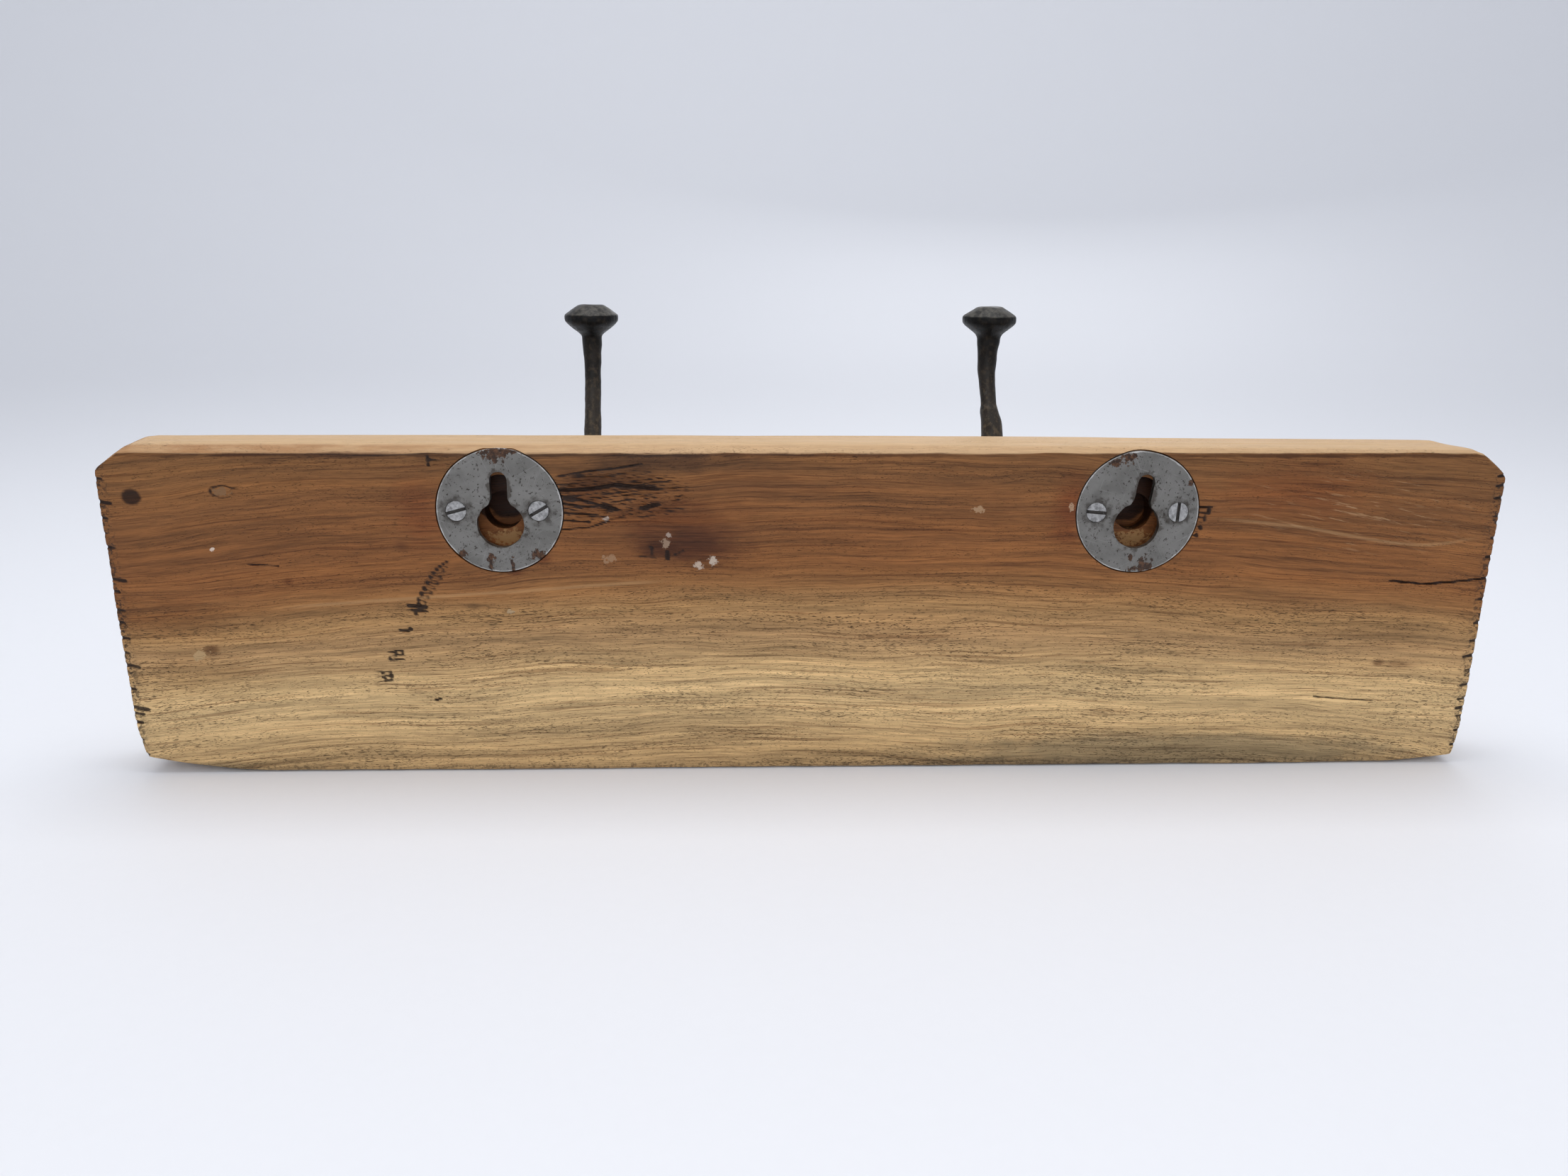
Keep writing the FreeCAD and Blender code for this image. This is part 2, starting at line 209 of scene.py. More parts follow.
# sawn faces are never quite flat; the bevel along the top of the back fades to the left
hollow = 0.22 * (1 + unevenness(places, (45, 30, 16), 1.0))
ripple = 0.10 * (1 + unevenness(places, (9, 5, 4), 2.0))
fade = np.clip((-20 - places[:, 0]) / 165, 0, 1) * 1.3
bevel_wave = 0.5 * unevenness(places, (11, 60, 60), 3.0)
FLATS = [
    ((0, 0, 0), (0, 1, 0), hollow + ripple), ((0, -depth, 0), (0, -1, 0), hollow + ripple),
    ((0, 0, half_height), (0, 0, 1), 0.5 * hollow), ((0, 0, -half_height), (0, 0, -1), hollow),
    ((half_length, 0, 0), (1, 0, 0), hollow), ((-half_length, 0, 0), (-1, 0, 0), hollow),
    ((0, 0, half_height - 2.7), (0, 0.506, 0.862), bevel_wave - fade),
    # corners, worn back by hand: right top, right bottom, left top, left bottom
    ((211.9, 0, 47.7), (0.6, 0.077, 0.8), ripple),
    ((212.5, 0, -47.7), (0.981, 0, -0.191), ripple), ((212.5, 0, -47.7), (0.186, 0, -0.982), ripple),
    ((184.7, 0, -52.1), (0.127, 0, -0.992), ripple),
    ((-211.9, 0, 47.6), (-0.664, -0.136, 0.747), ripple),
    ((-213.2, 0, -50.4), (-0.99, 0, -0.139), ripple), ((-213.2, 0, -50.4), (-0.12, 0, -0.993), ripple),
]
wear_down(board, FLATS, 0.42 + 0.22 * unevenness(places, (14, 14, 14), 4.0))

# the top face falls a little towards the left end
places = places_of(board)
fall = np.clip((10 - places[:, 0]) / 225, 0, 1) ** 1.4 * 1.25
upper = np.clip(places[:, 2] / half_height, 0, 1) ** 3
places[:, 2] -= fall * upper
put_places(board, places)

# marks on the back: cracks, scars, hatched scratches and nicks
def line_of_cut(places, line, half_width, deep):
    """How deep a cut is at each place: full depth along its line, and nothing past half its width."""
    nearest = np.full(len(places), 1e9)
    for (ax, az), (bx, bz) in zip(line, line[1:]):
        run_x, run_z = bx - ax, bz - az
        along = ((places[:, 0] - ax) * run_x + (places[:, 2] - az) * run_z) / (run_x ** 2 + run_z ** 2)
        along = np.clip(along, 0, 1)
        gap = np.hypot(places[:, 0] - ax - along * run_x, places[:, 2] - az - along * run_z)
        nearest = np.minimum(nearest, gap)
    return deep * np.clip(1.4 * (1 - nearest / half_width), 0, 1)


# each cut is a line of x, z points, half its width, and its depth
CUTS = [
    # cracks that run from the edge of the right plate
    ([(78, 43.4), (69, 45), (61, 45.8), (52, 47.3)], 0.5, 0.4),
    ([(78, 39.2), (69, 39.5), (60, 40.9), (48, 39.6)], 0.7, 0.8),
    ([(78, 37.6), (69, 35.7), (64, 34.2)], 0.5, 0.6),
    ([(65, 34.5), (60.6, 33.2)], 0.8, 0.9),
    ([(78, 35.2), (69, 34), (66, 34.2)], 0.4, 0.5),
    ([(78, 32.2), (66, 31.6)], 0.45, 0.5),
    ([(78, 30), (69, 29.3)], 0.4, 0.5),
    ([(53, 33.4), (48, 34.8)], 0.8, 0.8),
    ([(77, 27), (69, 27.6), (63, 29.6)], 0.4, 0.4),
    # scars in the stain
    ([(52, 26.3), (51.6, 21.5)], 0.5, 0.4),
    ([(49.8, 21.5), (49.6, 18.2)], 0.6, 0.5),
    ([(45.3, 20), (45.2, 17.6)], 0.6, 0.5),
    ([(43, 19), (40, 20.5)], 0.7, 0.4),
    ([(54, 18.6), (49, 18)], 0.4, 0.3),
    # the long scratch, and the nicks above and below it
    ([(112.8, 17), (115.3, 15.3), (117.5, 13.1), (119.8, 9.4), (122.7, 4.6)], 0.62, 0.45),
    ([(113.6, 14.6), (116.8, 8.8), (120.8, 3.4)], 0.5, 0.30),
    ([(125.6, 2.9), (120.4, 2.4)], 0.8, 0.6),
    ([(125.3, 1.4), (120.2, 1.1)], 0.5, 0.5),
    ([(122.2, 4), (123.4, 0)], 0.5, 0.5),
    ([(128.7, -5.2), (126.1, -5.4), (125.0, -3.9)], 0.55, 0.6),
    ([(120, -28.8), (118.2, -28)], 0.5, 0.6),
    ([(116.6, 49.9), (115.9, 46.8)], 0.7, 0.5),
    ([(115.2, 48.6), (113.6, 47.2)], 0.5, 0.4),
    # the hatched triangle beside the left plate
    ([(-118.4, 33.9), (-123.4, 33.9)], 0.4, 0.5),
    ([(-122.8, 33.4), (-122, 31.6)], 0.7, 0.6),
    ([(-121.9, 32), (-121.3, 29.6), (-119.2, 24.6)], 0.5, 0.5),
    # long checks
    ([(-183, 10), (-194, 8.9), (-202, 9.4), (-216, 10.9)], 0.42, 0.6),
    ([(-163, -29.1), (-172, -29.9), (-184, -30.7)], 0.38, 0.35),
    ([(173, 16.3), (163, 15.7)], 0.4, 0.35),
]
# rungs across the long scratch, then the hatching of the triangle
for step in range(9):
    start = (112.6 + 0.80 * step, 15.2 - 1.25 * step)
    CUTS.append(([start, (118.2 + 0.60 * step, 13.6 - 1.2 * step)], 0.40, 0.26))
for step in range(6):
    start = (-117.0, 32.4 - 1.4 * step)
    CUTS.append(([start, (-121.6 + 0.45 * step, 32.0 - 1.5 * step)], 0.38, 0.35))
# two small squares of crossed scratches
for x, z in ((130.7, -13.2), (134.6, -20.2)):
    for aside in (-1.5, 0.1, 1.5):
        CUTS.append(([(x - 2.1, z + aside), (x + 2.0, z + 0.9 * aside - 0.5)], 0.42, 0.45))
        upright = x + 1.2 * aside
        CUTS.append(([(upright + 0.5, z - 1.6), (upright - 0.3, z + 1.5)], 0.36, 0.4))
# nicks in from the end at +x and from the end at -x: the height of each, and its reach
END_NICKS = {
    1: {43: 2, 36: 3.5, 31: 1.6, 22: 3, 12: 4.5, 8: 2, 2: 2.4, -2: 1.8, -7: 3, -12: 2, -16: 5, -24: 2,
        -30: 5.5, -32: 4, -35: 2.6, -41: 2, -46: 3},
    -1: {44: 2.4, 41: 2.6, 37: 2.4, 31: 1.4, 24: 1.2, 18: 1.6, 11: 2, 4: 2.6, -4: 1.6, -10: 1.6, -15: 3.6,
         -20: 2, -25: 3, -30: 2.6, -33: 3, -36: 2.2, -41: 2, -46: 2.5}}
for sign, nicks in END_NICKS.items():
    for z, reach in nicks.items():
        nick = [(sign * 216, z), (sign * (214.4 - 0.8 * reach), z - 0.2 * reach)]
        CUTS.append((nick, 0.45 + 0.1 * reach, 0.42))

# where the back is ruled more closely, to hold the marks: from and to along x, then along z
MARKED = [
    (36, 79, 14, 49), (111, 138, -30, 18), (113, 118, 46, 51), (-125, -116, 22, 36),
    (-216, -182, 7.5, 12), (-185, -162, -32, -28), (162, 174, 15, 17.5),
    (209.5, 216, -50, 48), (-216, -209.5, -50, 48), (174, 183, 35, 42)]
refine(board, lambda centre, normal: normal.y > 0.5 and any(
    low_x < centre.x < high_x and low_z < centre.z < high_z for low_x, high_x, low_z, high_z in MARKED), 3)


def wounds_at(places):
    """How deep the marks on the back are at each place, in millimetres."""
    ragged = 1 + 0.5 * unevenness(places, (1.9, 2, 1.3), 6.0)
    wound = np.zeros(len(places))
    for line, half_width, deep in CUTS:
        wound = np.maximum(wound, line_of_cut(places, line, half_width, deep) * ragged)
    # torn grain: many fine splits that fan out from the right plate
    tilt = places.copy()
    tilt[:, 2] -= 0.10 * (77 - places[:, 0])
    splits = 1 - np.abs(unevenness(tilt, (13, 3, 0.85), 7.0)) * 6
    torn = np.clip(1.15 - np.hypot((places[:, 0] - 60) / 24, (places[:, 2] - 37.5) / 9), 0, 1)
    wound = np.maximum(wound, np.clip(splits, 0, 1) * np.clip(2.6 * torn, 0, 1) * 0.5)
    finer = 1 - np.abs(unevenness(tilt, (6, 3, 0.6), 7.5)) * 7
    wound = np.maximum(wound, np.clip(finer, 0, 1) * np.clip(1.8 * torn, 0, 1) * 0.25)
    # chips all down both ends
    chips = np.clip(unevenness(places, (3, 3, 1.1), 8.0) * 1.6 - 0.25, 0, 1)
    ends = np.clip((np.abs(places[:, 0]) - 212.4) / 2.2, 0, 1) * (np.abs(places[:, 2]) < 46)
    wound = np.maximum(wound, chips * ends * 0.5)
    # a grown-over knot with a sunk rim
    around = np.hypot((places[:, 0] - 178) / 3.4, (places[:, 2] - 38.7) / 1.9)
    around = around + 0.25 * unevenness(places, (2, 2, 2), 9.0)
    wound = np.maximum(wound, 0.35 * np.clip(1 - np.abs(around - 1) / 0.28, 0, 1))
    near_back = places[:, 1] > -2.5
    return np.where(near_back, wound, 0)


places = places_of(board)
places[:, 1] -= wounds_at(places)
put_places(board, places)

# recesses for the plates, and behind each keyhole a rough hollow with a deeper hole in it
plate_low, plate_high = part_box("keyhole_plate_right")
PLATE_RADIUS = (plate_high.x - plate_low.x) / 2 / MM
PLATE_BACK = plate_high.y / MM
PLATE_FRONT = plate_low.y / MM
RECESS_GAP = 0.4
KEYHOLE = {"entry_drop": 4.3, "entry_radius": 7.1, "slot_half": 2.6, "slot_top": 12,
           "lean": {"left": math.radians(8.5), "right": 0}}
HOLLOW = {"depth": 6.2, "radius": 7.9, "hole_radius": 5.9, "hole_rise": 3.4, "hole_depth": 13}
CHANNEL = {"rise": 10, "radius": 5.2, "depth": 7}
PILOT_RADIUS = {"plate": 1.6, "hook": 2.15}
SCREW_POSITIONS = ("outer", "inner")
for side, sign in SIDES.items():
    plate_middle = middle_of("keyhole_plate_" + side)
    place = (plate_middle.x, plate_middle.z)
    entry = (place[0], place[1] - KEYHOLE["entry_drop"])
    cut_with(board, add_rod("cutter", place, PLATE_RADIUS + RECESS_GAP, PLATE_FRONT, 2, 96))
    hollow_cutter = add_rod("cutter", entry, HOLLOW["radius"], -HOLLOW["depth"], 1, 64)
    bpy.ops.object.mode_set(mode="EDIT")
    subdivide_along(hollow_cutter, 1, 8)
    bpy.ops.mesh.select_mode(type="FACE")
    bpy.ops.mesh.select_all(action="SELECT")
    bpy.ops.mesh.inset(thickness=0.9 * MM, use_individual=False)
    bpy.ops.object.mode_set(mode="OBJECT")
    roughen(hollow_cutter, 0.35, 2.4, 12 + sign, 0.5)
    cut_with(board, hollow_cutter)
    lean = KEYHOLE["lean"][side]
    for rise, radius, deep in ((HOLLOW["hole_rise"], HOLLOW["hole_radius"], HOLLOW["hole_depth"]),
                               (CHANNEL["rise"], CHANNEL["radius"], CHANNEL["depth"])):
        above = (entry[0] - math.sin(lean) * rise, entry[1] + math.cos(lean) * rise)
        cut_with(board, add_rod("cutter", above, radius, -deep, 0.5))
    for position in SCREW_POSITIONS:
        for kind, radius in PILOT_RADIUS.items():
            screw_low, screw_high = extent_of("%s_screw_%s_%s" % (kind, side, position))
            pilot = ((screw_low.x + screw_high.x) / 2, (screw_low.z + screw_high.z) / 2)
            front, back = (screw_low.y - 0.5, 1) if kind == "plate" else (-depth - 1, screw_high.y + 0.5)
            cut_with(board, add_rod("cutter", pilot, radius, front, back, 24))

shade_smooth(board)
# the depth of the marks is kept on the mesh, for the dirt that lies in them
wound = board.data.attributes.new("wound", "FLOAT", "POINT")
wound.data.foreach_set("value", wounds_at(places_of(board)))
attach(board, "root")
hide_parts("board")


# the wood's finish
def feed(tree, node, feeds):
    """Feeds a node's inputs with plain values or with other nodes' outputs."""
    for key, value in feeds.items():
        if isinstance(value, bpy.types.NodeSocket):
            tree.links.new(value, node.inputs[key])
        else:
            node.inputs[key].default_value = value
    return node


def add_node(tree, kind, feeds=None, **settings):
    node = tree.nodes.new("ShaderNode" + kind)
    for name, value in settings.items():
        setattr(node, name, value)
    return feed(tree, node, feeds or {})


def calc(tree, operation, *values):
    return add_node(tree, "Math", dict(enumerate(values)), operation=operation).outputs[0]


def times(tree, first, second):
    return calc(tree, "MULTIPLY", first, second)


def plus(tree, first, second):
    return calc(tree, "ADD", first, second)


def minus(tree, first, second):
    return calc(tree, "SUBTRACT", first, second)


def centred(tree, pattern, amount):
    """A pattern that runs from 0 to 1, made a shift to either side of nought."""
    return times(tree, minus(tree, pattern, 0.5), amount)


def tint(red, green, blue):
    return (red, green, blue, 1)


def grey(tree, shade):
    return add_node(tree, "CombineColor", {0: shade, 1: shade, 2: shade}).outputs[0]


def lay_over(tree, share, under, over, kind="MIX"):
    """Mixes one colour over another by a share, plainly or by multiplying."""
    return add_node(tree, "Mix", {0: share, 6: under, 7: over}, data_type="RGBA", blend_type=kind).outputs[2]


def fade_between(tree, value, low, high, at_low=0, at_high=1):
    """A smooth step from one value to another as the input goes from low to high."""
    feeds = {0: value, 1: low, 2: high, 3: at_low, 4: at_high}
    return add_node(tree, "MapRange", feeds, interpolation_type="SMOOTHSTEP").outputs[0]


def stretched(tree, place, along, across, deep=None):
    """The place scaled for a pattern whose lumps measure these millimetres along x, z and y."""
    scale = (1 / along, 1 / (deep or across), 1 / across)
    return add_node(tree, "Mapping", {0: place, 3: scale}).outputs[0]


def turned_by(tree, place, degrees):
    """The place turned about Y, for a pattern that runs at a slant."""
    return add_node(tree, "Mapping", {0: place, 2: (0, math.radians(degrees), 0)}).outputs[0]


def clouds(tree, place, detail=2, roughness=0.5, warp=0):
    feeds = {"Vector": place, "Scale": 1, "Detail": detail, "Roughness": roughness, "Distortion": warp}
    return add_node(tree, "TexNoise", feeds).outputs[0]


def new_group(name, inputs, outputs):
    """An empty shader node group with named inputs and outputs; returns it and its two end nodes."""
    group = bpy.data.node_groups.new(name, "ShaderNodeTree")
    for way, sockets in (("INPUT", inputs), ("OUTPUT", outputs)):
        for socket_name, kind in sockets.items():
            group.interface.new_socket(socket_name, in_out=way, socket_type="NodeSocket" + kind)
    return group, group.nodes.new("NodeGroupInput"), group.nodes.new("NodeGroupOutput")


def use_group(tree, group, feeds):
    node = tree.nodes.new("ShaderNodeGroup")
    node.node_tree = group
    return feed(tree, node, feeds)


def make_patch_group():
    """A spot of stain, rust or dirt: an ellipsoid whose edge is made ragged by a noise fed to it."""
    group, start, end = new_group(
        "ragged_patch", {"Place": "Vector", "Centre": "Vector", "Reach": "Vector", "Softness": "Float",
                         "Uneven": "Float", "Raggedness": "Float"}, {"Mask": "Float"})
    offset = add_node(group, "VectorMath", {0: start.outputs["Place"], 1: start.outputs["Centre"]},
                      operation="SUBTRACT").outputs[0]
    shrunk = add_node(group, "VectorMath", {0: offset, 1: start.outputs["Reach"]},
                      operation="DIVIDE").outputs[0]
    distance = add_node(group, "VectorMath", {0: shrunk}, operation="LENGTH").outputs["Value"]
    shift = centred(group, start.outputs["Uneven"], start.outputs["Raggedness"])
    edge = plus(group, distance, shift)
    inner = minus(group, 1, start.outputs["Softness"])
    group.links.new(fade_between(group, edge, inner, 1, 1, 0), end.inputs["Mask"])
    return group


ragged_patch = make_patch_group()


def patch(tree, place, uneven, x, z, reach_x, reach_z, softness=0.5, raggedness=1.0, y=0, reach_y=5):
    """The mask of one ragged patch, in millimetres; on the back of the board unless told how deep."""
    feeds = {"Place": place, "Centre": (x, y, z), "Reach": (reach_x, reach_y, reach_z),
             "Softness": softness, "Uneven": uneven, "Raggedness": raggedness}
    return use_group(tree, ragged_patch, feeds).outputs[0]


def new_material(name):
    """A node material with its Principled shader; also gives object places in millimetres."""
    material = bpy.data.materials.new(name)
    material.use_nodes = True
    tree = material.node_tree
    shader = tree.nodes["Principled BSDF"]
    coords = add_node(tree, "TexCoord")
    place = add_node(tree, "Mapping", {0: coords.outputs["Object"], 3: (1 / MM,) * 3}).outputs[0]
    return material, tree, shader, place, coords.outputs["Normal"]


def finish_with(tree, shader, colour, roughness, height, relief):
    """Feeds the shader its colour, roughness and a bump of the given relief in millimetres."""
    tree.links.new(colour, shader.inputs["Base Color"])
    tree.links.new(roughness, shader.inputs["Roughness"])
    bump = add_node(tree, "Bump", {"Height": height, "Distance": relief * MM, "Strength": 1})
    tree.links.new(bump.outputs[0], shader.inputs["Normal"])


# heart to sapwood, by height in millimetres in the middle of the board
WOOD_TONES = {
    52: (0.200, 0.088, 0.029), 40: (0.215, 0.088, 0.028), 25: (0.222, 0.086, 0.026),
    15: (0.238, 0.095, 0.029), 9: (0.280, 0.128, 0.043), 2: (0.390, 0.218, 0.085),
    -6: (0.430, 0.255, 0.112), -12: (0.500, 0.315, 0.142), -17: (0.610, 0.405, 0.188),
    -24: (0.640, 0.440, 0.212), -32: (0.620, 0.422, 0.202), -40: (0.550, 0.365, 0.170),
    -47: (0.510, 0.330, 0.150), -53: (0.430, 0.275, 0.125)}
TONE_REACH = 60
# stains on the back: x, z, reach along x and z, softness, strength, colour that it multiplies
STAINS = [
    (42, 27, 30, 15, 0.8, 0.80, (0.55, 0.44, 0.44)),
    (36, 21, 20, 8, 0.8, 0.75, (0.42, 0.34, 0.36)),
    (46, 48, 36, 4.5, 0.8, 0.85, (0.42, 0.42, 0.50)),
    (62, 42, 22, 6, 0.9, 0.75, (0.42, 0.38, 0.38)),
    (49, 20.5, 8, 5, 0.8, 0.8, (0.40, 0.32, 0.32)),
    (20, 42, 26, 8, 0.9, 0.5, (0.75, 0.72, 0.75)),
    (120, 33, 12, 16, 0.9, 0.7, (0.85, 0.62, 0.55)),
    (-79, 33, 9, 17, 0.9, 0.8, (0.72, 0.48, 0.42)),
    (-150, 40, 38, 14, 0.9, 0.8, (0.92, 0.72, 0.62)),
    (-205, 20, 24, 9, 0.9, 0.9, (1.30, 1.35, 1.35)),
    (-48, 18, 26, 9, 0.9, 0.9, (1.16, 1.18, 1.20)),
    (200, -2, 34, 9, 0.9, 0.8, (0.70, 0.60, 0.52)),
    (195, -20, 30, 9, 0.9, 0.8, (0.80, 0.76, 0.70)),
    (-185, -9, 22, 8, 0.9, 0.7, (0.80, 0.78, 0.76)),
    (-120, -48, 104, 8.5, 0.6, 0.85, (0.52, 0.58, 0.66)),
    (195, -52, 26, 4, 0.8, 0.8, (0.50, 0.55, 0.62)),
    (-60, -52, 90, 3, 0.8, 0.7, (0.62, 0.62, 0.66)),
    (-190, -18, 10, 3, 0.9, 0.8, (0.55, 0.50, 0.48)),
    (204.9, 37.3, 3.4, 3.2, 0.4, 0.95, (0.10, 0.08, 0.09)),
    (187.5, -11.4, 3.6, 2.2, 0.7, 0.9, (0.45, 0.36, 0.30)),
    (105.5, 2.6, 3.4, 1.8, 0.9, 0.7, (0.55, 0.55, 0.58)),
    (100, -3.4, 2.4, 2.8, 0.9, 0.6, (0.65, 0.66, 0.68)),
    (126, 21.8, 3.2, 2.4, 0.9, 0.7, (0.55, 0.50, 0.52)),
    (161.4, 10.7, 2.2, 2.0, 0.8, 0.8, (0.55, 0.45, 0.40)),
    (-183.5, -17.5, 2.8, 1.8, 0.7, 0.85, (0.40, 0.33, 0.30)),
    (70, 38, 12, 7, 0.9, 0.75, (0.55, 0.44, 0.38)),
    (92, 13.5, 4, 1.6, 0.9, 0.8, (0.45, 0.32, 0.28)),
    (83.5, 18, 4, 3, 0.9, 0.8, (0.50, 0.36, 0.32)),
]
# flecks on the back: x, z, reach along x and z, colour
FLECKS = [
    (63.9, 30.4, 1.2, 0.8, (0.48, 0.37, 0.30)),
    (63.2, 17.7, 2.0, 1.4, (0.30, 0.17, 0.09)),
    (94.4, 0.7, 1.2, 0.8, (0.43, 0.30, 0.17)),
    (183.3, 21, 0.9, 0.7, (0.61, 0.48, 0.39)),
    (35.8, 15.6, 1.5, 1.3, (0.47, 0.36, 0.28)),
    (31.4, 17.2, 1.8, 1.4, (0.48, 0.39, 0.31)),
    (46.0, 22.7, 1.5, 1.5, (0.27, 0.18, 0.12)),
    (-50.4, 33.4, 1.8, 1.2, (0.36, 0.22, 0.12)),
    (191.3, -13.1, 2.6, 2.0, (0.44, 0.29, 0.14)),
    (44.6, 25.3, 0.8, 0.9, (0.33, 0.25, 0.20)),
    (-79.2, 33.8, 0.9, 1.3, (0.37, 0.23, 0.14)),
    (178, 38.7, 2.6, 1.4, (0.21, 0.11, 0.05)),
]
# pale lines of grain: their height at places along x
PALE_RAY = {-214: 25.3, -204: 23.2, -194: 21.8, -184: 22.2, -170: 24.3, -155: 27.1, -120: 30.5}
PALE_JOIN = {40: 11.0, 62: 9.6, 90: 7.6, 134: 4.6, 170: 2.0}
# open pores: length, thickness and how large they grow
PORES = ((2.4, 0.40, 1.0), (5.2, 0.50, 0.9), (1.4, 0.34, 0.95), (3.6, 0.36, 0.9), (8.0, 0.60, 0.8))


def across_grain(tree, place, axes):
    """Height across the grain, whose lines arch, climbing from both ends towards the middle."""
    bow = times(tree, times(tree, axes[0], axes[0]), 0.0002)
    swing = centred(tree, clouds(tree, stretched(tree, place, 120, 40)), 11)
    waver = centred(tree, clouds(tree, stretched(tree, place, 34, 12)), 2.6)
    return plus(tree, plus(tree, axes[2], bow), plus(tree, swing, waver))


def lay_tones(tree, height):
    """The wood's own colour, from pale sapwood to brown heart."""
    share = calc(tree, "DIVIDE", plus(tree, height, TONE_REACH), 2 * TONE_REACH)
    tones = add_node(tree, "ValToRGB", {0: share})
    ramp = tones.color_ramp
    while len(ramp.elements) > 1:
        ramp.elements.remove(ramp.elements[0])
    for index, (level, tone) in enumerate(sorted(WOOD_TONES.items())):
        position = (level + TONE_REACH) / (2 * TONE_REACH)
        stop = ramp.elements[0] if index == 0 else ramp.elements.new(position)
        stop.position = position
        stop.color = tint(*tone)
    return tones.outputs[0]


def lay_streaks(tree, colour, streaks):
    """Soft lighter and darker lines along the grain: patterns, each with its strength."""
    shade = 1
    for streak, strength in streaks:
        shade = plus(tree, shade, centred(tree, streak, strength))
    return lay_over(tree, 1, colour, grey(tree, calc(tree, "MAXIMUM", shade, 0.3)), "MULTIPLY")


def lay_stains(tree, place, uneven, colour):
    for x, z, reach_x, reach_z, softness, strength, stain in STAINS:
        mask = patch(tree, place, uneven, x, z, reach_x, reach_z, softness)
        colour = lay_over(tree, times(tree, mask, strength), colour, tint(*stain), "MULTIPLY")
    return colour


def open_pores(tree, place, axes, height, crowd):
    """Short slits along the grain, crowded in some bands: 1 in a slit, and 0 between them."""
    band = fade_between(tree, height, 13, 4, 0.0, 0.06)
    size = plus(tree, fade_between(tree, crowd, 0.28, 0.72, 0.07, 0.20), band)
    jitter = centred(tree, clouds(tree, stretched(tree, place, 5, 1.6)), 0.5)
    shaken = add_node(tree, "CombineXYZ", {0: axes[0], 1: axes[1], 2: plus(tree, height, jitter)}).outputs[0]
    pores = 0
    for long, thick, share in PORES:
        cell = stretched(tree, shaken, long, thick)
        cells = add_node(tree, "TexVoronoi", {"Vector": cell, "Scale": 1}).outputs[0]
        slit = fade_between(tree, minus(tree, times(tree, size, share), cells), 0.0, 0.12)
        pores = calc(tree, "MAXIMUM", pores, slit)
    return pores


def pale_line(tree, axes, uneven, line):
    """The mask of a line of grain, whose height is given at places along x; it fades at its ends."""
    length, tall = 2 * half_length, 2 * half_height
    share = calc(tree, "DIVIDE", plus(tree, axes[0], half_length), length)
    level = add_node(tree, "FloatCurve", {1: share})
    spots = [((x + half_length) / length, (z + half_height) / tall) for x, z in sorted(line.items())]
    points = level.mapping.curves[0].points
    points[0].location = spots[0]
    for spot in spots[1:-1]:
        points.new(*spot)
    points[-1].location = spots[-1]
    level.mapping.update()
    rise = minus(tree, times(tree, level.outputs[0], tall), half_height)
    off = calc(tree, "ABSOLUTE", plus(tree, minus(tree, axes[2], rise), centred(tree, uneven, 0.8)))
    begun = fade_between(tree, axes[0], min(line), min(line) + 20)
    ended = fade_between(tree, axes[0], max(line) - 20, max(line), 1, 0)
    return times(tree, fade_between(tree, off, 0.1, 0.9, 1, 0), times(tree, begun, ended))


def lay_dirt(tree, place, axes, uneven, crumbly, colour):
    """Flecks of old glue and paint, dirt in the cracks and chips, and specks along the edges."""
    for x, z, reach_x, reach_z, fleck in FLECKS:
        mask = patch(tree, place, crumbly, x, z, reach_x, reach_z, 0.35, 3.2)
        colour = lay_over(tree, mask, colour, tint(*fleck))
    wound = add_node(tree, "Attribute", attribute_name="wound").outputs["Fac"]
    dirt = fade_between(tree, plus(tree, wound, centred(tree, uneven, 0.25)), 0.06, 0.34)
    colour = lay_over(tree, times(tree, dirt, 0.93), colour, tint(0.014, 0.007, 0.005))
    at_end = fade_between(tree, calc(tree, "ABSOLUTE", axes[0]), 210.0, 213.6)
    at_foot = times(tree, fade_between(tree, axes[2], -49.6, -51.6), 0.6)
    specks = times(tree, fade_between(tree, crumbly, 0.50, 0.60), calc(tree, "MAXIMUM", at_end, at_foot))
    specks = times(tree, specks, fade_between(tree, axes[1], -4.5, -2.5, 0.15, 0.8))
    return lay_over(tree, specks, colour, tint(0.022, 0.014, 0.010))


def paint_shade_in_hollows(tree, place, axes, uneven, crumbly, colour):
    """Painted shade in the hollows behind the plates: all that lies deeper than the back is darkened, and the
    deep hole behind each keyhole painted nearly black, but for a torn ledge at the foot of each.
    """
    # painted shade: faces lying more than about 1.2 mm in from the back are darkened, most at 3 mm and
    # deeper. This takes in the recesses, hollows and pilot holes, and also the ends, foot and front of the
    # board.
    inside = plus(tree, axes[1], times(tree, uneven, 1.5))
    painted_depth_shade = fade_between(tree, inside, -1.2, -3.0, 0, 0.45)
    colour = lay_over(tree, painted_depth_shade, colour, tint(0.5, 0.40, 0.32), "MULTIPLY")
    for side in SIDES:
        middle = middle_of("keyhole_plate_" + side)
        # painted shade: the deep hole behind the keyhole, and the upper edge of the ledge below it, are
        # darkened almost to black
        painted_hole_shade = patch(tree, place, uneven, middle.x, middle.z + 6.2, 10.5, 14.0, 0.08, 0.3, -9.2, 7.4)
        colour = lay_over(tree, times(tree, painted_hole_shade, 0.93), colour, tint(0.10, 0.06, 0.045), "MULTIPLY")
        torn = patch(tree, place, crumbly, middle.x - 1, middle.z - 9.6, 6.5, 3.0, 0.5, 3.2, -6, 4.5)
        colour = lay_over(tree, times(tree, torn, 0.8), colour, tint(0.34, 0.19, 0.075))
    return colour


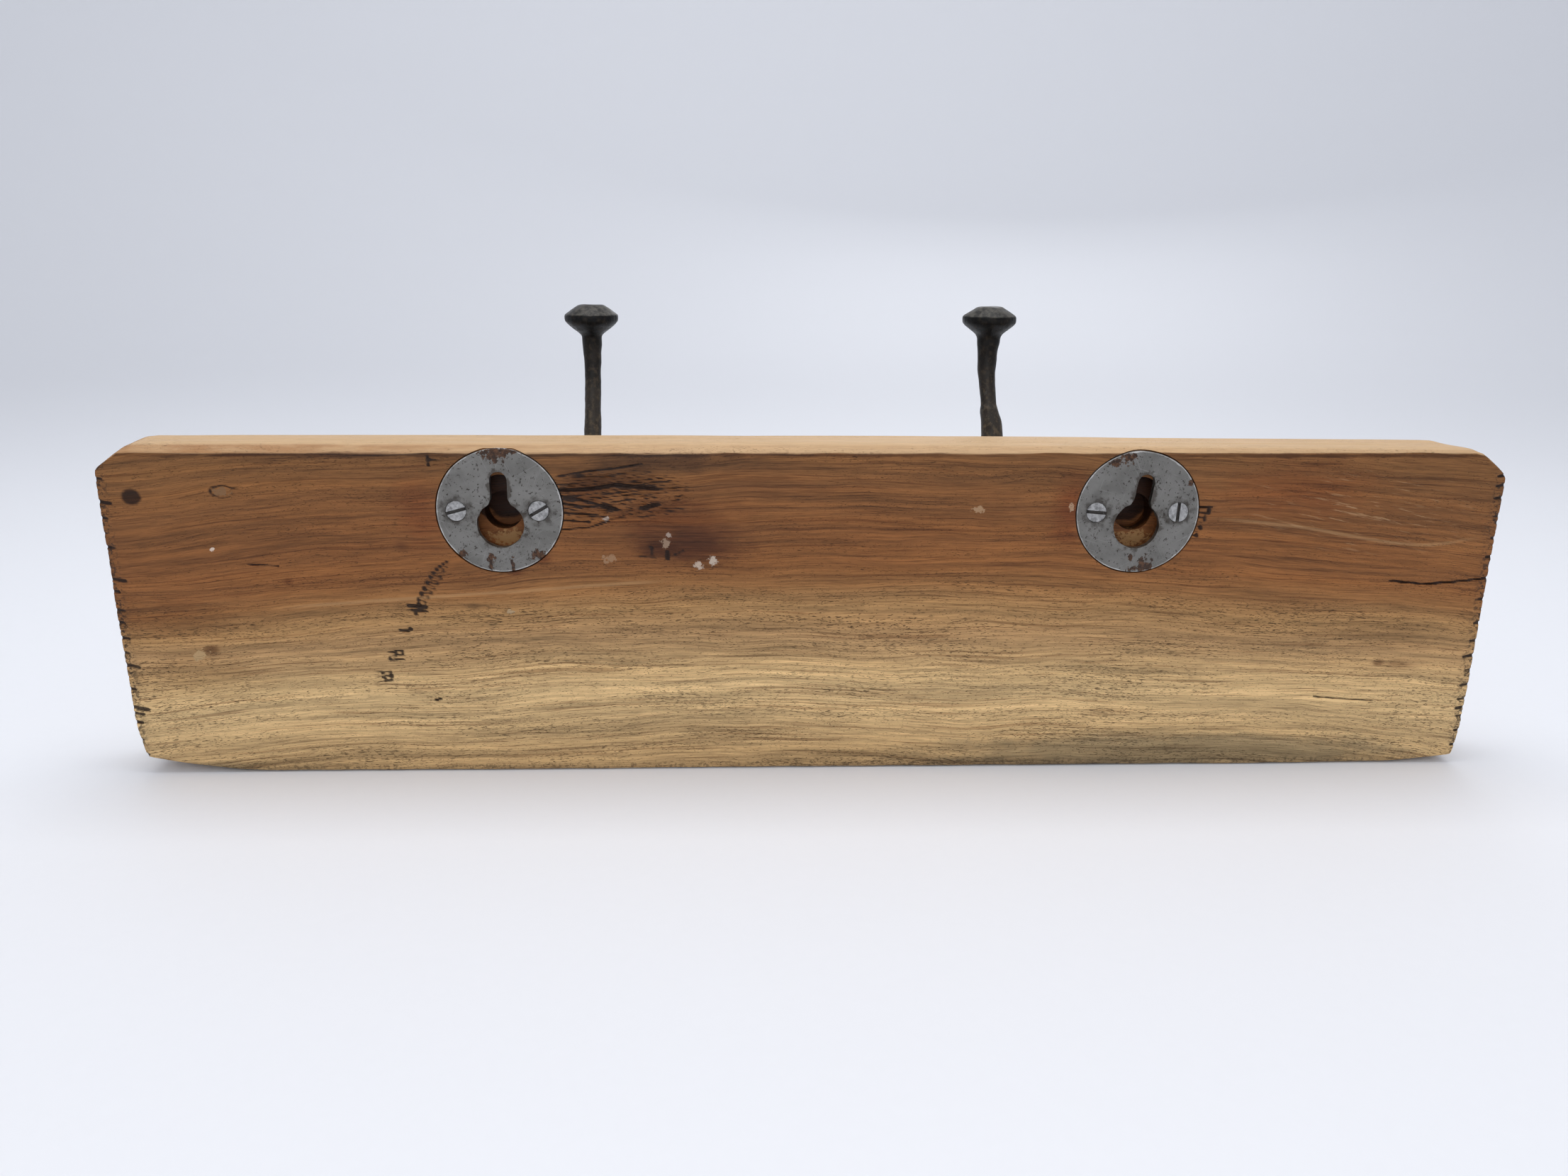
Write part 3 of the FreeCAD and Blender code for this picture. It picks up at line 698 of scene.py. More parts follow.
def sand_top(tree, axes, facing, fine, pores, uneven, crowd, colour):
    """The sanded top and bevel, paler than the handled faces, with a line of grime below them."""
    up = add_node(tree, "SeparateXYZ", {0: facing}).outputs[2]
    sanded = times(tree, fade_between(tree, up, 0.35, 0.6), fade_between(tree, axes[2], 46.5, 49.5))
    pale_shade = plus(tree, 0.72, times(tree, fine, 0.5))
    pale = lay_over(tree, 1, tint(0.60, 0.40, 0.218), grey(tree, pale_shade), "MULTIPLY")
    pale = lay_over(tree, times(tree, pores, 0.35), pale, tint(0.20, 0.12, 0.07))
    colour = lay_over(tree, sanded, colour, pale)
    arris = plus(tree, calc(tree, "ABSOLUTE", minus(tree, axes[2], 49.9)), centred(tree, uneven, 2.4))
    grime = fade_between(tree, arris, 0.1, 0.9, 1, 0)
    grime = times(tree, grime, fade_between(tree, crowd, 0.35, 0.6, 0.3, 0.8))
    grime = times(tree, grime, fade_between(tree, axes[1], -5, -3))
    colour = lay_over(tree, grime, colour, tint(0.30, 0.22, 0.18), "MULTIPLY")
    # the bevel keeps some of its brown, most of all to the right
    bevelled = times(tree, fade_between(tree, up, 0.40, 0.6), fade_between(tree, up, 0.92, 0.985, 1, 0))
    browner = times(tree, bevelled, fade_between(tree, axes[0], 30, 190, 0.30, 1.0))
    browner = times(tree, browner, fade_between(tree, uneven, 0.35, 0.6, 0.55, 1))
    return lay_over(tree, browner, colour, tint(0.66, 0.52, 0.42), "MULTIPLY")


def make_wood():
    material, tree, shader, place, facing = new_material("reclaimed_wood")
    axes = add_node(tree, "SeparateXYZ", {0: place}).outputs
    height = across_grain(tree, place, axes)
    grain = add_node(tree, "CombineXYZ", {0: axes[0], 1: axes[1], 2: height}).outputs[0]
    uneven = clouds(tree, stretched(tree, place, 11, 4.5), 5, 0.62)
    crumbly = clouds(tree, stretched(tree, place, 1.1, 1.0), 3, 0.6)
    crowd = clouds(tree, stretched(tree, grain, 60, 6), 3)

    broad = clouds(tree, stretched(tree, grain, 120, 3.6), 3)
    middling = clouds(tree, stretched(tree, grain, 42, 1.1), 3)
    fine = clouds(tree, stretched(tree, grain, 12, 0.42), 2, 0.6)
    fibres = clouds(tree, stretched(tree, grain, 4.2, 0.22), 3, 0.65)
    streaks = ((broad, 1.15), (middling, 1.0), (fine, 0.8), (fibres, 0.9))
    colour = lay_streaks(tree, lay_tones(tree, height), streaks)
    colour = lay_stains(tree, place, uneven, colour)

    # hairlines, longer dark lines, and pores
    hairs = fade_between(tree, clouds(tree, stretched(tree, grain, 22, 0.27), 3, 0.6), 0.55, 0.66)
    colour = lay_over(tree, times(tree, hairs, 0.60), colour, tint(0.38, 0.31, 0.28), "MULTIPLY")
    long_lines = clouds(tree, stretched(tree, grain, 55, 0.75), 3, 0.6)
    long_lines = fade_between(tree, plus(tree, long_lines, times(tree, crowd, 0.15)), 0.63, 0.74)
    colour = lay_over(tree, times(tree, long_lines, 0.62), colour, tint(0.42, 0.34, 0.30), "MULTIPLY")
    pores = open_pores(tree, place, axes, height, crowd)
    colour = lay_over(tree, times(tree, pores, 0.82), colour, tint(0.055, 0.029, 0.015))

    # pale rays at a slant to the grain, up at one end, and two pale lines of grain
    slanting = stretched(tree, turned_by(tree, place, 12), 9, 0.7)
    rays = fade_between(tree, clouds(tree, slanting, 3, 0.6), 0.57, 0.70)
    rays = times(tree, rays, patch(tree, place, uneven, -172, 32, 54, 18, 0.9))
    colour = lay_over(tree, times(tree, rays, 0.55), colour, tint(0.46, 0.28, 0.14))
    for line, strength in ((PALE_RAY, 0.30), (PALE_JOIN, 0.32)):
        mask = pale_line(tree, axes, uneven, line)
        colour = lay_over(tree, times(tree, mask, strength), colour, tint(0.52, 0.32, 0.15))

    colour = lay_dirt(tree, place, axes, uneven, crumbly, colour)
    colour = paint_shade_in_hollows(tree, place, axes, uneven, crumbly, colour)
    colour = sand_top(tree, axes, facing, fine, pores, uneven, crowd, colour)
    relief = times(tree, plus(tree, fine, plus(tree, middling, fibres)), 0.3)
    relief = minus(tree, relief, pores)
    roughness = fade_between(tree, plus(tree, broad, times(tree, pores, 0.3)), 0.3, 0.9, 0.5, 0.75)
    shader.inputs["Specular IOR Level"].default_value = 0.22
    finish_with(tree, shader, colour, roughness, relief, 0.22)
    return material


give_finish(board, make_wood())


# ---------------------------------------------------------------- the keyhole plates
# Two stamped mild-steel discs, each pierced with a round entry and a filed slot above it. They are
# sunk just under the back of the board and held by a screw on either side of the keyhole.
def turn(name, place, profile, sides=48):
    """A solid turned about a line along Y, from its radius at each depth, in millimetres."""
    first_radius, first_level = profile[0]
    bpy.ops.mesh.primitive_circle_add(
        vertices=sides, radius=first_radius * MM, fill_type="NGON", rotation=(math.pi / 2, 0, 0),
        location=Vector((place[0], first_level, place[1])) * MM)
    piece = take_new(name)
    centre = Vector((place[0], 0, place[1])) * MM
    bpy.ops.object.mode_set(mode="EDIT")
    bpy.ops.mesh.select_all(action="SELECT")
    for (radius, level), (next_radius, next_level) in zip(profile, profile[1:]):
        step = {"value": (0, (next_level - level) * MM, 0)}
        bpy.ops.mesh.extrude_region_move(TRANSFORM_OT_translate=step)
        grow = next_radius / radius
        bpy.ops.transform.resize(value=(grow, 1, grow), center_override=centre)
    bpy.ops.mesh.select_all(action="SELECT")
    bpy.ops.mesh.normals_make_consistent(inside=False)
    bpy.ops.object.mode_set(mode="OBJECT")
    return piece


def about_entry(side, across, up):
    """The place x, z of a point given across and up a keyhole that leans with its slot."""
    middle = middle_of("keyhole_plate_" + side)
    lean = KEYHOLE["lean"][side]
    return (middle.x + across * math.cos(lean) - up * math.sin(lean),
            middle.z - KEYHOLE["entry_drop"] + across * math.sin(lean) + up * math.cos(lean))


def add_slab(name, side, outline, front, back):
    """A flat piece with a four-cornered outline, given across and up a keyhole, between two depths."""
    piece = add_block(name, (-1, front, -1), (1, back, 1))
    corners = {(-1, -1): outline[0], (1, -1): outline[1], (1, 1): outline[2], (-1, 1): outline[3]}
    for vertex in piece.data.vertices:
        across, up = corners[round(vertex.co.x / MM), round(vertex.co.z / MM)]
        x, z = about_entry(side, across, up)
        vertex.co = Vector((x, vertex.co.y / MM, z)) * MM
    bpy.ops.object.mode_set(mode="EDIT")
    bpy.ops.mesh.select_all(action="SELECT")
    bpy.ops.mesh.subdivide(number_cuts=7)
    bpy.ops.object.mode_set(mode="OBJECT")
    return piece


def screw_place(screw):
    middle = middle_of(screw)
    return (middle.x, middle.z)


steel_plates = []
for side, sign in SIDES.items():
    middle = middle_of("keyhole_plate_" + side)
    plate = add_rod("hanging_plate_" + side, (middle.x, middle.z), PLATE_RADIUS, PLATE_FRONT, PLATE_BACK, 96)
    roughen(plate, 0.10, 9, 20 + sign)
    entry_cutter = add_rod("cutter", about_entry(side, 0, 0), KEYHOLE["entry_radius"],
                           PLATE_FRONT - 1, PLATE_BACK + 1, 56)
    roughen(entry_cutter, 0.22, 1.6, 30 + sign)
    cut_with(plate, entry_cutter)
    half, top = KEYHOLE["slot_half"], KEYHOLE["entry_drop"] + KEYHOLE["slot_top"] - KEYHOLE["slot_half"]
    shoulders = [(-half - 1.3, 5.2), (half + 1.3, 5.2), (half, 8.0), (-half, 8.0)]
    for outline in ([(-half, 3), (half, 3), (half, top), (-half, top)], shoulders):
        slot_cutter = add_slab("cutter", side, outline, PLATE_FRONT - 1, PLATE_BACK + 1)
        roughen(slot_cutter, 0.12, 1.3, 40 + sign)
        cut_with(plate, slot_cutter)
    end_cutter = add_rod("cutter", about_entry(side, 0, top), half, PLATE_FRONT - 1, PLATE_BACK + 1, 32)
    roughen(end_cutter, 0.12, 1.3, 45 + sign)
    cut_with(plate, end_cutter)
    for position in SCREW_POSITIONS:
        mouth = PLATE_BACK + 0.5
        sink = [(3.3, mouth), (3.3, PLATE_BACK), (1.7, PLATE_BACK - 1.6), (1.7, PLATE_FRONT - 0.5)]
        cut_with(plate, turn("cutter", screw_place("plate_screw_%s_%s" % (side, position)), sink))
    apply_modifier(plate, "BEVEL", width=0.22 * MM, segments=2, limit_method="ANGLE",
                   angle_limit=math.radians(50))
    shade_smooth(plate, 30)
    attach(plate, "root")
    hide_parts("keyhole_plate_" + side)
    steel_plates.append(plate)


def make_scratch_group():
    """Fine scratches in all directions, and pits: thin lines of noise stretched two ways."""
    group, start, end = new_group("scratches", {"Place": "Vector", "Amount": "Float"},
                                  {"Lines": "Float", "Pits": "Float"})
    lines = 0
    for angle in (17, 64, 108, 151):
        slanting = stretched(group, turned_by(group, start.outputs["Place"], angle), 11, 0.30)
        thin = fade_between(group, clouds(group, slanting, 2, 0.5), 0.66, 0.74)
        lines = calc(group, "MAXIMUM", lines, thin)
    spots = clouds(group, stretched(group, start.outputs["Place"], 0.8, 0.8), 3, 0.6)
    pits = fade_between(group, spots, 0.60, 0.68)
    for name, value in (("Lines", lines), ("Pits", pits)):
        group.links.new(times(group, value, start.outputs["Amount"]), end.inputs[name])
    return group


def make_rust_group():
    """Brown rust, mottled from dark to orange, inside a mask that is fed to it."""
    group, start, end = new_group("rust", {"Place": "Vector", "Mask": "Float"},
                                  {"Colour": "Color", "Mask": "Float"})
    mottle = clouds(group, stretched(group, start.outputs["Place"], 0.8, 0.8), 4, 0.65)
    colour = lay_over(group, fade_between(group, mottle, 0.40, 0.68), tint(0.028, 0.014, 0.008),
                      tint(0.12, 0.052, 0.023))
    bitten = minus(group, start.outputs["Mask"], times(group, mottle, 0.9))
    group.links.new(colour, end.inputs["Colour"])
    group.links.new(fade_between(group, bitten, -0.10, 0.12), end.inputs["Mask"])
    return group


scratches = make_scratch_group()
rust = make_rust_group()
# rust on each plate, from its centre: x, z, reach along x and z
RUST = {
    "right": [(0.5, 17.6, 5.5, 3.4), (-12.0, -14.0, 2.2, 2.2), (3.4, -16.0, 1.6, 4.2),
              (-3.2, -16.6, 0.9, 3.2), (-10.5, -13.6, 2.6, 2.0), (11.8, -13.4, 1.6, 1.6), (-2, 18.5, 9, 1.2)],
    "left": [(4.0, 16.9, 3.6, 2.4), (8.5, 15.6, 2.8, 1.8), (-3.6, -16.5, 2.6, 3.2),
             (-15.6, 9.4, 1.3, 1.4), (-2.5, -17.8, 5.5, 1.5), (1.0, -14.3, 0.8, 1.8)]}


def make_plate_steel(side):
    material, tree, shader, place, facing = new_material("plate_steel_" + side)
    middle = middle_of("keyhole_plate_" + side)
    worn = use_group(tree, scratches, {"Place": place, "Amount": 1.0}).outputs
    uneven = clouds(tree, stretched(tree, place, 2.2, 2.2), 4, 0.6)
    cloudy = clouds(tree, stretched(tree, place, 9, 7), 3, 0.55)
    dull, bright = tint(0.142, 0.137, 0.126), tint(0.203, 0.197, 0.184)
    colour = lay_over(tree, fade_between(tree, cloudy, 0.3, 0.7), dull, bright)
    colour = lay_over(tree, times(tree, worn["Lines"], 0.28), colour, tint(0.34, 0.335, 0.325))
    colour = lay_over(tree, times(tree, worn["Pits"], 0.85), colour, tint(0.030, 0.022, 0.018))
    # grime round the screws and round the keyhole
    for position in SCREW_POSITIONS:
        x, z = screw_place("plate_screw_%s_%s" % (side, position))
        ring = patch(tree, place, uneven, x, z, 5.4, 5.4, 0.55, 1.5)
        colour = lay_over(tree, times(tree, ring, 0.78), colour, tint(0.040, 0.033, 0.027))
    for across, up, reach, length in ((0, 0, 8.4, 8.4), (0, 10.5, 4.0, 7.5)):
        x, z = about_entry(side, across, up)
        ring = patch(tree, place, uneven, x, z, reach, length, 0.30, 1.6)
        colour = lay_over(tree, times(tree, ring, 0.70), colour, tint(0.045, 0.034, 0.026))
    # painted highlight: a bright, patchy line painted round the rim of the disc
    offset = add_node(tree, "VectorMath", {0: place, 1: (middle.x, 0, middle.z)},
                      operation="SUBTRACT").outputs[0]
    flat = add_node(tree, "VectorMath", {0: offset, 1: (1, 0, 1)}, operation="MULTIPLY").outputs[0]
    radius = add_node(tree, "VectorMath", {0: flat}, operation="LENGTH").outputs["Value"]
    radius = plus(tree, radius, times(tree, uneven, 0.9))
    rim = fade_between(tree, radius, PLATE_RADIUS + 0.05, PLATE_RADIUS + 0.35)
    rim = times(tree, rim, fade_between(tree, cloudy, 0.35, 0.6, 0.25, 0.9))
    colour = lay_over(tree, rim, colour, tint(0.55, 0.54, 0.52))
    bloom = 0
    crumbly = clouds(tree, stretched(tree, place, 1.5, 1.9), 4, 0.65)
    for x, z, reach_x, reach_z in RUST[side]:
        spot = patch(tree, place, crumbly, middle.x + x, middle.z + z, 1.1 * reach_x, 1.1 * reach_z, 0.9, 3.0)
        bloom = calc(tree, "MAXIMUM", bloom, spot)
    crust = use_group(tree, rust, {"Place": place, "Mask": bloom}).outputs
    colour = lay_over(tree, crust["Mask"], colour, crust["Colour"])
    bare = minus(tree, 1, crust["Mask"])
    tree.links.new(times(tree, bare, 0.75), shader.inputs["Metallic"])
    roughness = fade_between(tree, cloudy, 0.3, 0.7, 0.34, 0.48)
    roughness = plus(tree, roughness, times(tree, crust["Mask"], 0.4))
    raised = plus(tree, times(tree, crust["Mask"], 0.6), times(tree, uneven, 0.5))
    sunk = plus(tree, worn["Pits"], times(tree, worn["Lines"], 0.2))
    relief = minus(tree, raised, sunk)
    finish_with(tree, shader, colour, roughness, relief, 0.05)
    return material


for side, plate in zip(SIDES, steel_plates):
    give_finish(plate, make_plate_steel(side))


# ---------------------------------------------------------------- the plate screws
# Four small slotted wood screws of bright steel, countersunk into the plates and driven into the
# board. Their heads are scuffed, and old polish and dirt fill their slots.
def make_screw_steel(name, bright, dirty, slot_front, slot_back, metallic):
    """Screw metal: bright on the head, dirty down the slot, between two depths in millimetres."""
    material, tree, shader, place, facing = new_material(name)
    worn = use_group(tree, scratches, {"Place": stretched(tree, place, 0.5, 0.5), "Amount": 1.0}).outputs
    uneven = clouds(tree, stretched(tree, place, 0.8, 0.8), 4, 0.6)
    duller, scratched, smeared = [tint(*(share * part for part in bright)) for share in (0.55, 0.4, 0.22)]
    colour = lay_over(tree, fade_between(tree, uneven, 0.3, 0.7), duller, tint(*bright))
    colour = lay_over(tree, times(tree, worn["Lines"], 0.3), colour, scratched)
    depth_in = add_node(tree, "SeparateXYZ", {0: place}).outputs[1]
    shaded = plus(tree, depth_in, centred(tree, uneven, 0.35))
    slot_dirt = fade_between(tree, shaded, slot_back, slot_front, 1, 0)
    smears = fade_between(tree, clouds(tree, stretched(tree, place, 2.3, 2.3), 3, 0.6), 0.50, 0.64, 0, 0.6)
    colour = lay_over(tree, smears, colour, smeared)
    colour = lay_over(tree, slot_dirt, colour, tint(*dirty))
    bare = minus(tree, 1, slot_dirt)
    tree.links.new(times(tree, bare, metallic), shader.inputs["Metallic"])
    roughness = fade_between(tree, uneven, 0.3, 0.7, 0.30, 0.50)
    relief = minus(tree, uneven, worn["Pits"])
    finish_with(tree, shader, colour, roughness, relief, 0.04)
    return material


def make_screw(name, node, face, way, head, shank, length, turned, slot=(1.0, 1.0)):
    """A slotted countersunk screw; its face is at a depth, and its shank goes the other way in Y."""
    place = screw_place(node)
    slot_width, slot_depth = slot
    rim = 0.22
    point = 4
    profile = [(head - rim, face), (head, face - way * rim), (head, face - way * 2 * rim),
               (shank, face - way * (head - shank + 2 * rim)), (shank, face - way * (length - point)),
               (0.2, face - way * length)]
    screw = turn(name, place, profile, 56)
    corner = Vector((head + 1, slot_depth, slot_width / 2))
    cutter = add_block("cutter", -corner, corner)
    roughen(cutter, 0.03, 1, 3)
    cutter.data.transform(Matrix.Rotation(math.radians(turned), 4, "Y"))
    cutter.data.transform(Matrix.Translation(Vector((place[0], face, place[1])) * MM))
    cut_with(screw, cutter)
    apply_modifier(screw, "BEVEL", width=0.06 * MM, segments=1, limit_method="ANGLE",
                   angle_limit=math.radians(60))
    shade_smooth(screw, 30)
    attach(screw, "root")
    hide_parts(node)
    return screw


bright_steel = make_screw_steel("screw_steel", (0.46, 0.455, 0.45), (0.035, 0.028, 0.022),
                                PLATE_BACK - 0.45, PLATE_BACK - 0.95, 0.85)
# how far each screw was turned when it came tight, in degrees
PLATE_SCREW_TURNS = {("left", "outer"): 88, ("left", "inner"): -5,
                     ("right", "outer"): 15, ("right", "inner"): 30}
for (side, position), turned in PLATE_SCREW_TURNS.items():
    screw = make_screw("%s_plate_screw_%s" % (side, position), "plate_screw_%s_%s" % (side, position),
                       face=PLATE_BACK, way=1, head=3.2, shank=1.55, length=12.5, turned=turned)
    give_finish(screw, bright_steel)


# ---------------------------------------------------------------- the hooks
# Two hand-forged hat-and-coat hooks, each one piece of iron: a back plate, a long arm that rises
# to a mushroom knob, and a short crook below that turns up to a smaller knob. Blackened and waxed.
def follow_route(corners, bends, step=1.2):
    """Centres and headings along straight runs whose corners are rounded to their bends.

    Corners and centres are y, z pairs, and a heading is the direction of the run, of length one.
    """
    corners = [Vector(corner) for corner in corners]
    stations = []
    start = corners[0]
    for before, corner, after, bend in zip(corners, corners[1:], corners[2:], bends):
        way_in, way_out = (corner - before).normalized(), (after - corner).normalized()
        turned = way_in.angle(way_out)
        reach = bend * math.tan(turned / 2)
        left = way_in.x * way_out.y - way_in.y * way_out.x > 0
        aside = Vector((-way_in.y, way_in.x)) * (1 if left else -1)
        arc_start = corner - way_in * reach
        run = arc_start - start
        for index in range(max(1, int(run.length / step))):
            stations.append((start + run * index / max(1, int(run.length / step)), way_in))
        hub = arc_start + aside * bend
        pieces = max(3, int(bend * turned / step))
        for index in range(pieces):
            angle = turned * index / pieces
            heading = way_in * math.cos(angle) + aside * math.sin(angle)
            stations.append((hub - aside * bend * math.cos(angle) + way_in * bend * math.sin(angle), heading))
        start = corner + way_out * reach
    run = corners[-1] - start
    pieces = max(2, int(run.length / step))
    for index in range(pieces + 1):
        stations.append((start + run * index / pieces, run.normalized()))
    return stations


def draw_out(name, x, stations, sides=28):
    """A bar forged by drawing the last face on from station to station.

    A station is its centre y, z, its heading, half its width, half its thickness and a shift in x.
    """
    bpy.ops.mesh.primitive_circle_add(vertices=sides, radius=MM, fill_type="NGON",
                                      rotation=(math.pi / 2, 0, 0))
    bar = take_new(name)
    centre, across, half_width, half_thick = Vector(), Vector((0, 0, 1)), 1.0, 1.0
    bpy.ops.object.mode_set(mode="EDIT")
    bpy.ops.mesh.select_all(action="SELECT")
    for index, (place, heading, width, thick, shift) in enumerate(stations):
        if index:
            bpy.ops.mesh.extrude_region_move()
        next_centre = Vector((x + shift, place.x, place.y)) * MM
        next_across = Vector((0, heading.y, -heading.x))
        shape = bmesh.from_edit_mesh(bar.data)
        for vertex in shape.verts:
            if vertex.select:
                offset = vertex.co - centre
                sideways = offset.x * width / half_width
                upright = offset.dot(across) * thick / half_thick
                vertex.co = next_centre + Vector((sideways, 0, 0)) + next_across * upright
        bmesh.update_edit_mesh(bar.data)
        centre, across, half_width, half_thick = next_centre, next_across, width, thick
    bpy.ops.mesh.select_all(action="SELECT")
    bpy.ops.mesh.normals_make_consistent(inside=False)
    bpy.ops.object.mode_set(mode="OBJECT")
    return bar


def between(keys, value):
    """The value read off a smooth line through key points, given as a dict."""
    points = sorted(keys.items())
    for (low, first), (high, second) in zip(points, points[1:]):
        if value <= high:
            share = min(1, max(0, (value - low) / (high - low)))
            share = share * share * (3 - 2 * share)
            return first + (second - first) * share
    return points[-1][1]


FRONT = -depth
HOOK_PLATE = {"half_width": 18, "half_height": 27, "thick": 3.5, "corner": 9}
HOOK_FACE = FRONT - HOOK_PLATE["thick"]
SWELLING = {"half_width": 4.6, "half_height": 11.5, "thick": 7.2}
ARM_REACH = FRONT - 32
CROOK_REACH = FRONT - 35
# each knob: the height of its neck, then its radius at each rise above that
KNOB = {"neck_z": 81.5,
        "profile": [(1.1, 4.7), (2.3, 6.4), (3.7, 8.1), (4.6, 8.9), (5.1, 9.15), (6.7, 9.15),
                    (7.2, 8.9), (8.8, 6.7), (9.8, 5.0), (10.2, 4.4), (10.35, 3.4), (10.4, 1.6), (10.4, 0.3)]}
TIP = {"neck_z": -31.0,
       "profile": [(0.6, 3.8), (1.6, 4.9), (2.6, 5.7), (3.2, 5.85), (4.1, 5.8), (4.9, 5.1),
                   (5.7, 4.0), (6.1, 3.0), (6.1, 0.3)]}
# each bar's corners y, z from its root to its neck, then the radius that each corner is bent to
ARM_ROUTE = ([(FRONT + 1, 6), (FRONT - 9.5, 6), (ARM_REACH, 73), (ARM_REACH, KNOB["neck_z"])], (8, 30))
CROOK_ROUTE = ([(FRONT + 1, -7), (FRONT - 9.5, -7), (FRONT - 11, -47.5), (CROOK_REACH, -47.5),
                (CROOK_REACH, TIP["neck_z"])], (8, 11, 11))
# half widths of each arm by height, and how far its centre wanders in x
ARM_WIDTH = {"right": {6: 4.6, 16: 3.9, 30: 3.4, 50: 3.05, 68: 2.85, 82: 3.55},
             "left": {6: 4.8, 16: 4.4, 30: 4.2, 52: 3.8, 57.5: 3.35, 59: 2.85, 66: 2.95, 74: 3.4, 82: 4.1}}
ARM_SHIFT = {"right": {6: 0, 82: 0},
             "left": {6: -0.6, 40: -1.6, 52: -1.2, 59: -0.2, 70: 0.3, 82: 0.0}}
KNOB_TILT = {"right": 0, "left": 0.03}


def forge_arm(side, x):
    """The upper bar, not quite round, drawn up into its mushroom knob."""
    arm = [(place, heading, between(ARM_WIDTH[side], place.y), between(ARM_WIDTH[side], place.y) * 0.94,
            between(ARM_SHIFT[side], place.y)) for place, heading in follow_route(*ARM_ROUTE)]
    top = Vector((ARM_REACH, KNOB["neck_z"]))
    for rise, radius in KNOB["profile"]:
        arm.append((top + Vector((0, rise)), Vector((0, 1)), radius, radius, KNOB_TILT[side] * rise))
    return draw_out("arm", x, arm)


def forge_crook(x):
    """The lower bar, bent under and up again into its small knob."""
    crook = [(place, heading, 3.6 - 0.3 * math.sin(index / 9), 3.3, 0)
             for index, (place, heading) in enumerate(follow_route(*CROOK_ROUTE))]
    for rise, radius in TIP["profile"]:
        crook.append((Vector((CROOK_REACH, TIP["neck_z"] + rise)), Vector((0, 1)), radius, radius, 0))
    return draw_out("crook", x, crook)


def divide_all(block, cuts):
    make_active(block)
    bpy.ops.object.mode_set(mode="EDIT")
    bpy.ops.mesh.select_all(action="SELECT")
    bpy.ops.mesh.subdivide(number_cuts=cuts)
    bpy.ops.object.mode_set(mode="OBJECT")


def forge_plate(x):
    """The back plate, round at its corners."""
    wide, tall, corner = HOOK_PLATE["half_width"], HOOK_PLATE["half_height"], HOOK_PLATE["corner"]
    plate = add_block("back_plate", (x - wide, HOOK_FACE, -tall), (x + wide, FRONT, tall))
    divide_all(plate, 26)
    flats = [((x, FRONT, 0), (0, 1, 0), 0), ((x, HOOK_FACE, 0), (0, -1, 0), 0)]
    for turned in range(0, 360, 15):
        way = Vector((math.cos(math.radians(turned)), 0, math.sin(math.radians(turned))))
        hub = Vector((x + math.copysign(wide - corner, way.x), 0, math.copysign(tall - corner, way.z)))
        flats.append((hub + way * corner, way, 0))
    wear_down(plate, flats, 0.5)
    return plate


def forge_swelling(x):
    """The low boss on the plate that both bars grow out of."""
    swelling = add_block("swelling", (x - 6.2, FRONT - 7.4, -14), (x + 6.2, FRONT - 1, 13))
    divide_all(swelling, 16)
    flats = [((x, FRONT, 0), (0, 1, 0), 0), ((x, FRONT - SWELLING["thick"], 0), (0, -1, 0), 0)]
    for across, up in ((1, 0), (-1, 0), (0, 1), (0, -1), (1, 1), (-1, 1), (1, -1), (-1, -1)):
        way = Vector((across, -0.5 if up else -0.45, up))
        reach = Vector((SWELLING["half_width"] * across, -5.0, SWELLING["half_height"] * up))
        if across and up:
            reach = reach * 0.86
        flats.append((Vector((x, FRONT, 0)) + reach, way, 0))
    wear_down(swelling, flats, 1.0)
    return swelling


def forge_hook(side):
    x = middle_of("hook_" + side).x
    bars = [forge_arm(side, x), forge_crook(x)]
    plate = forge_plate(x)
    swelling = forge_swelling(x)
    make_active(plate)
    for part in bars + [swelling]:
        part.select_set(True)
    bpy.ops.object.join()
    hook = bpy.context.active_object
    hook.name = hook.data.name = "forged_hook_" + side
    apply_modifier(hook, "REMESH", mode="VOXEL", voxel_size=0.45 * MM)
    apply_modifier(hook, "SMOOTH", factor=0.5, iterations=3)

    # hammer marks: shallow dishes all over, and slower swells
    places = places_of(hook)
    normals = np.array([vertex.normal for vertex in hook.data.vertices])
    marks = []
    for place in places:
        near = noise.voronoi(Vector(place) / 4.2 + Vector((SIDES[side], 0, 0)))[0][0]
        marks.append(0.26 * (near - 0.5))
    marks = np.array(marks) + 0.16 * unevenness(places, (6, 6, 6), 50 + SIDES[side]) - 0.16
    on_board = places[:, 1] > FRONT - 0.3
    marks[on_board] = np.minimum(marks[on_board], 0)
    places += normals * marks[:, None]
    put_places(hook, places)

    for position in SCREW_POSITIONS:
        sink = [(4.75, HOOK_FACE - 1), (4.75, HOOK_FACE - 0.15), (2.5, HOOK_FACE + 2.1), (2.5, FRONT + 1)]
        cut_with(hook, turn("cutter", screw_place("hook_screw_%s_%s" % (side, position)), sink))
    shade_smooth(hook, 40)
    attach(hook, "root")
    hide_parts("hook_" + side)
    return hook


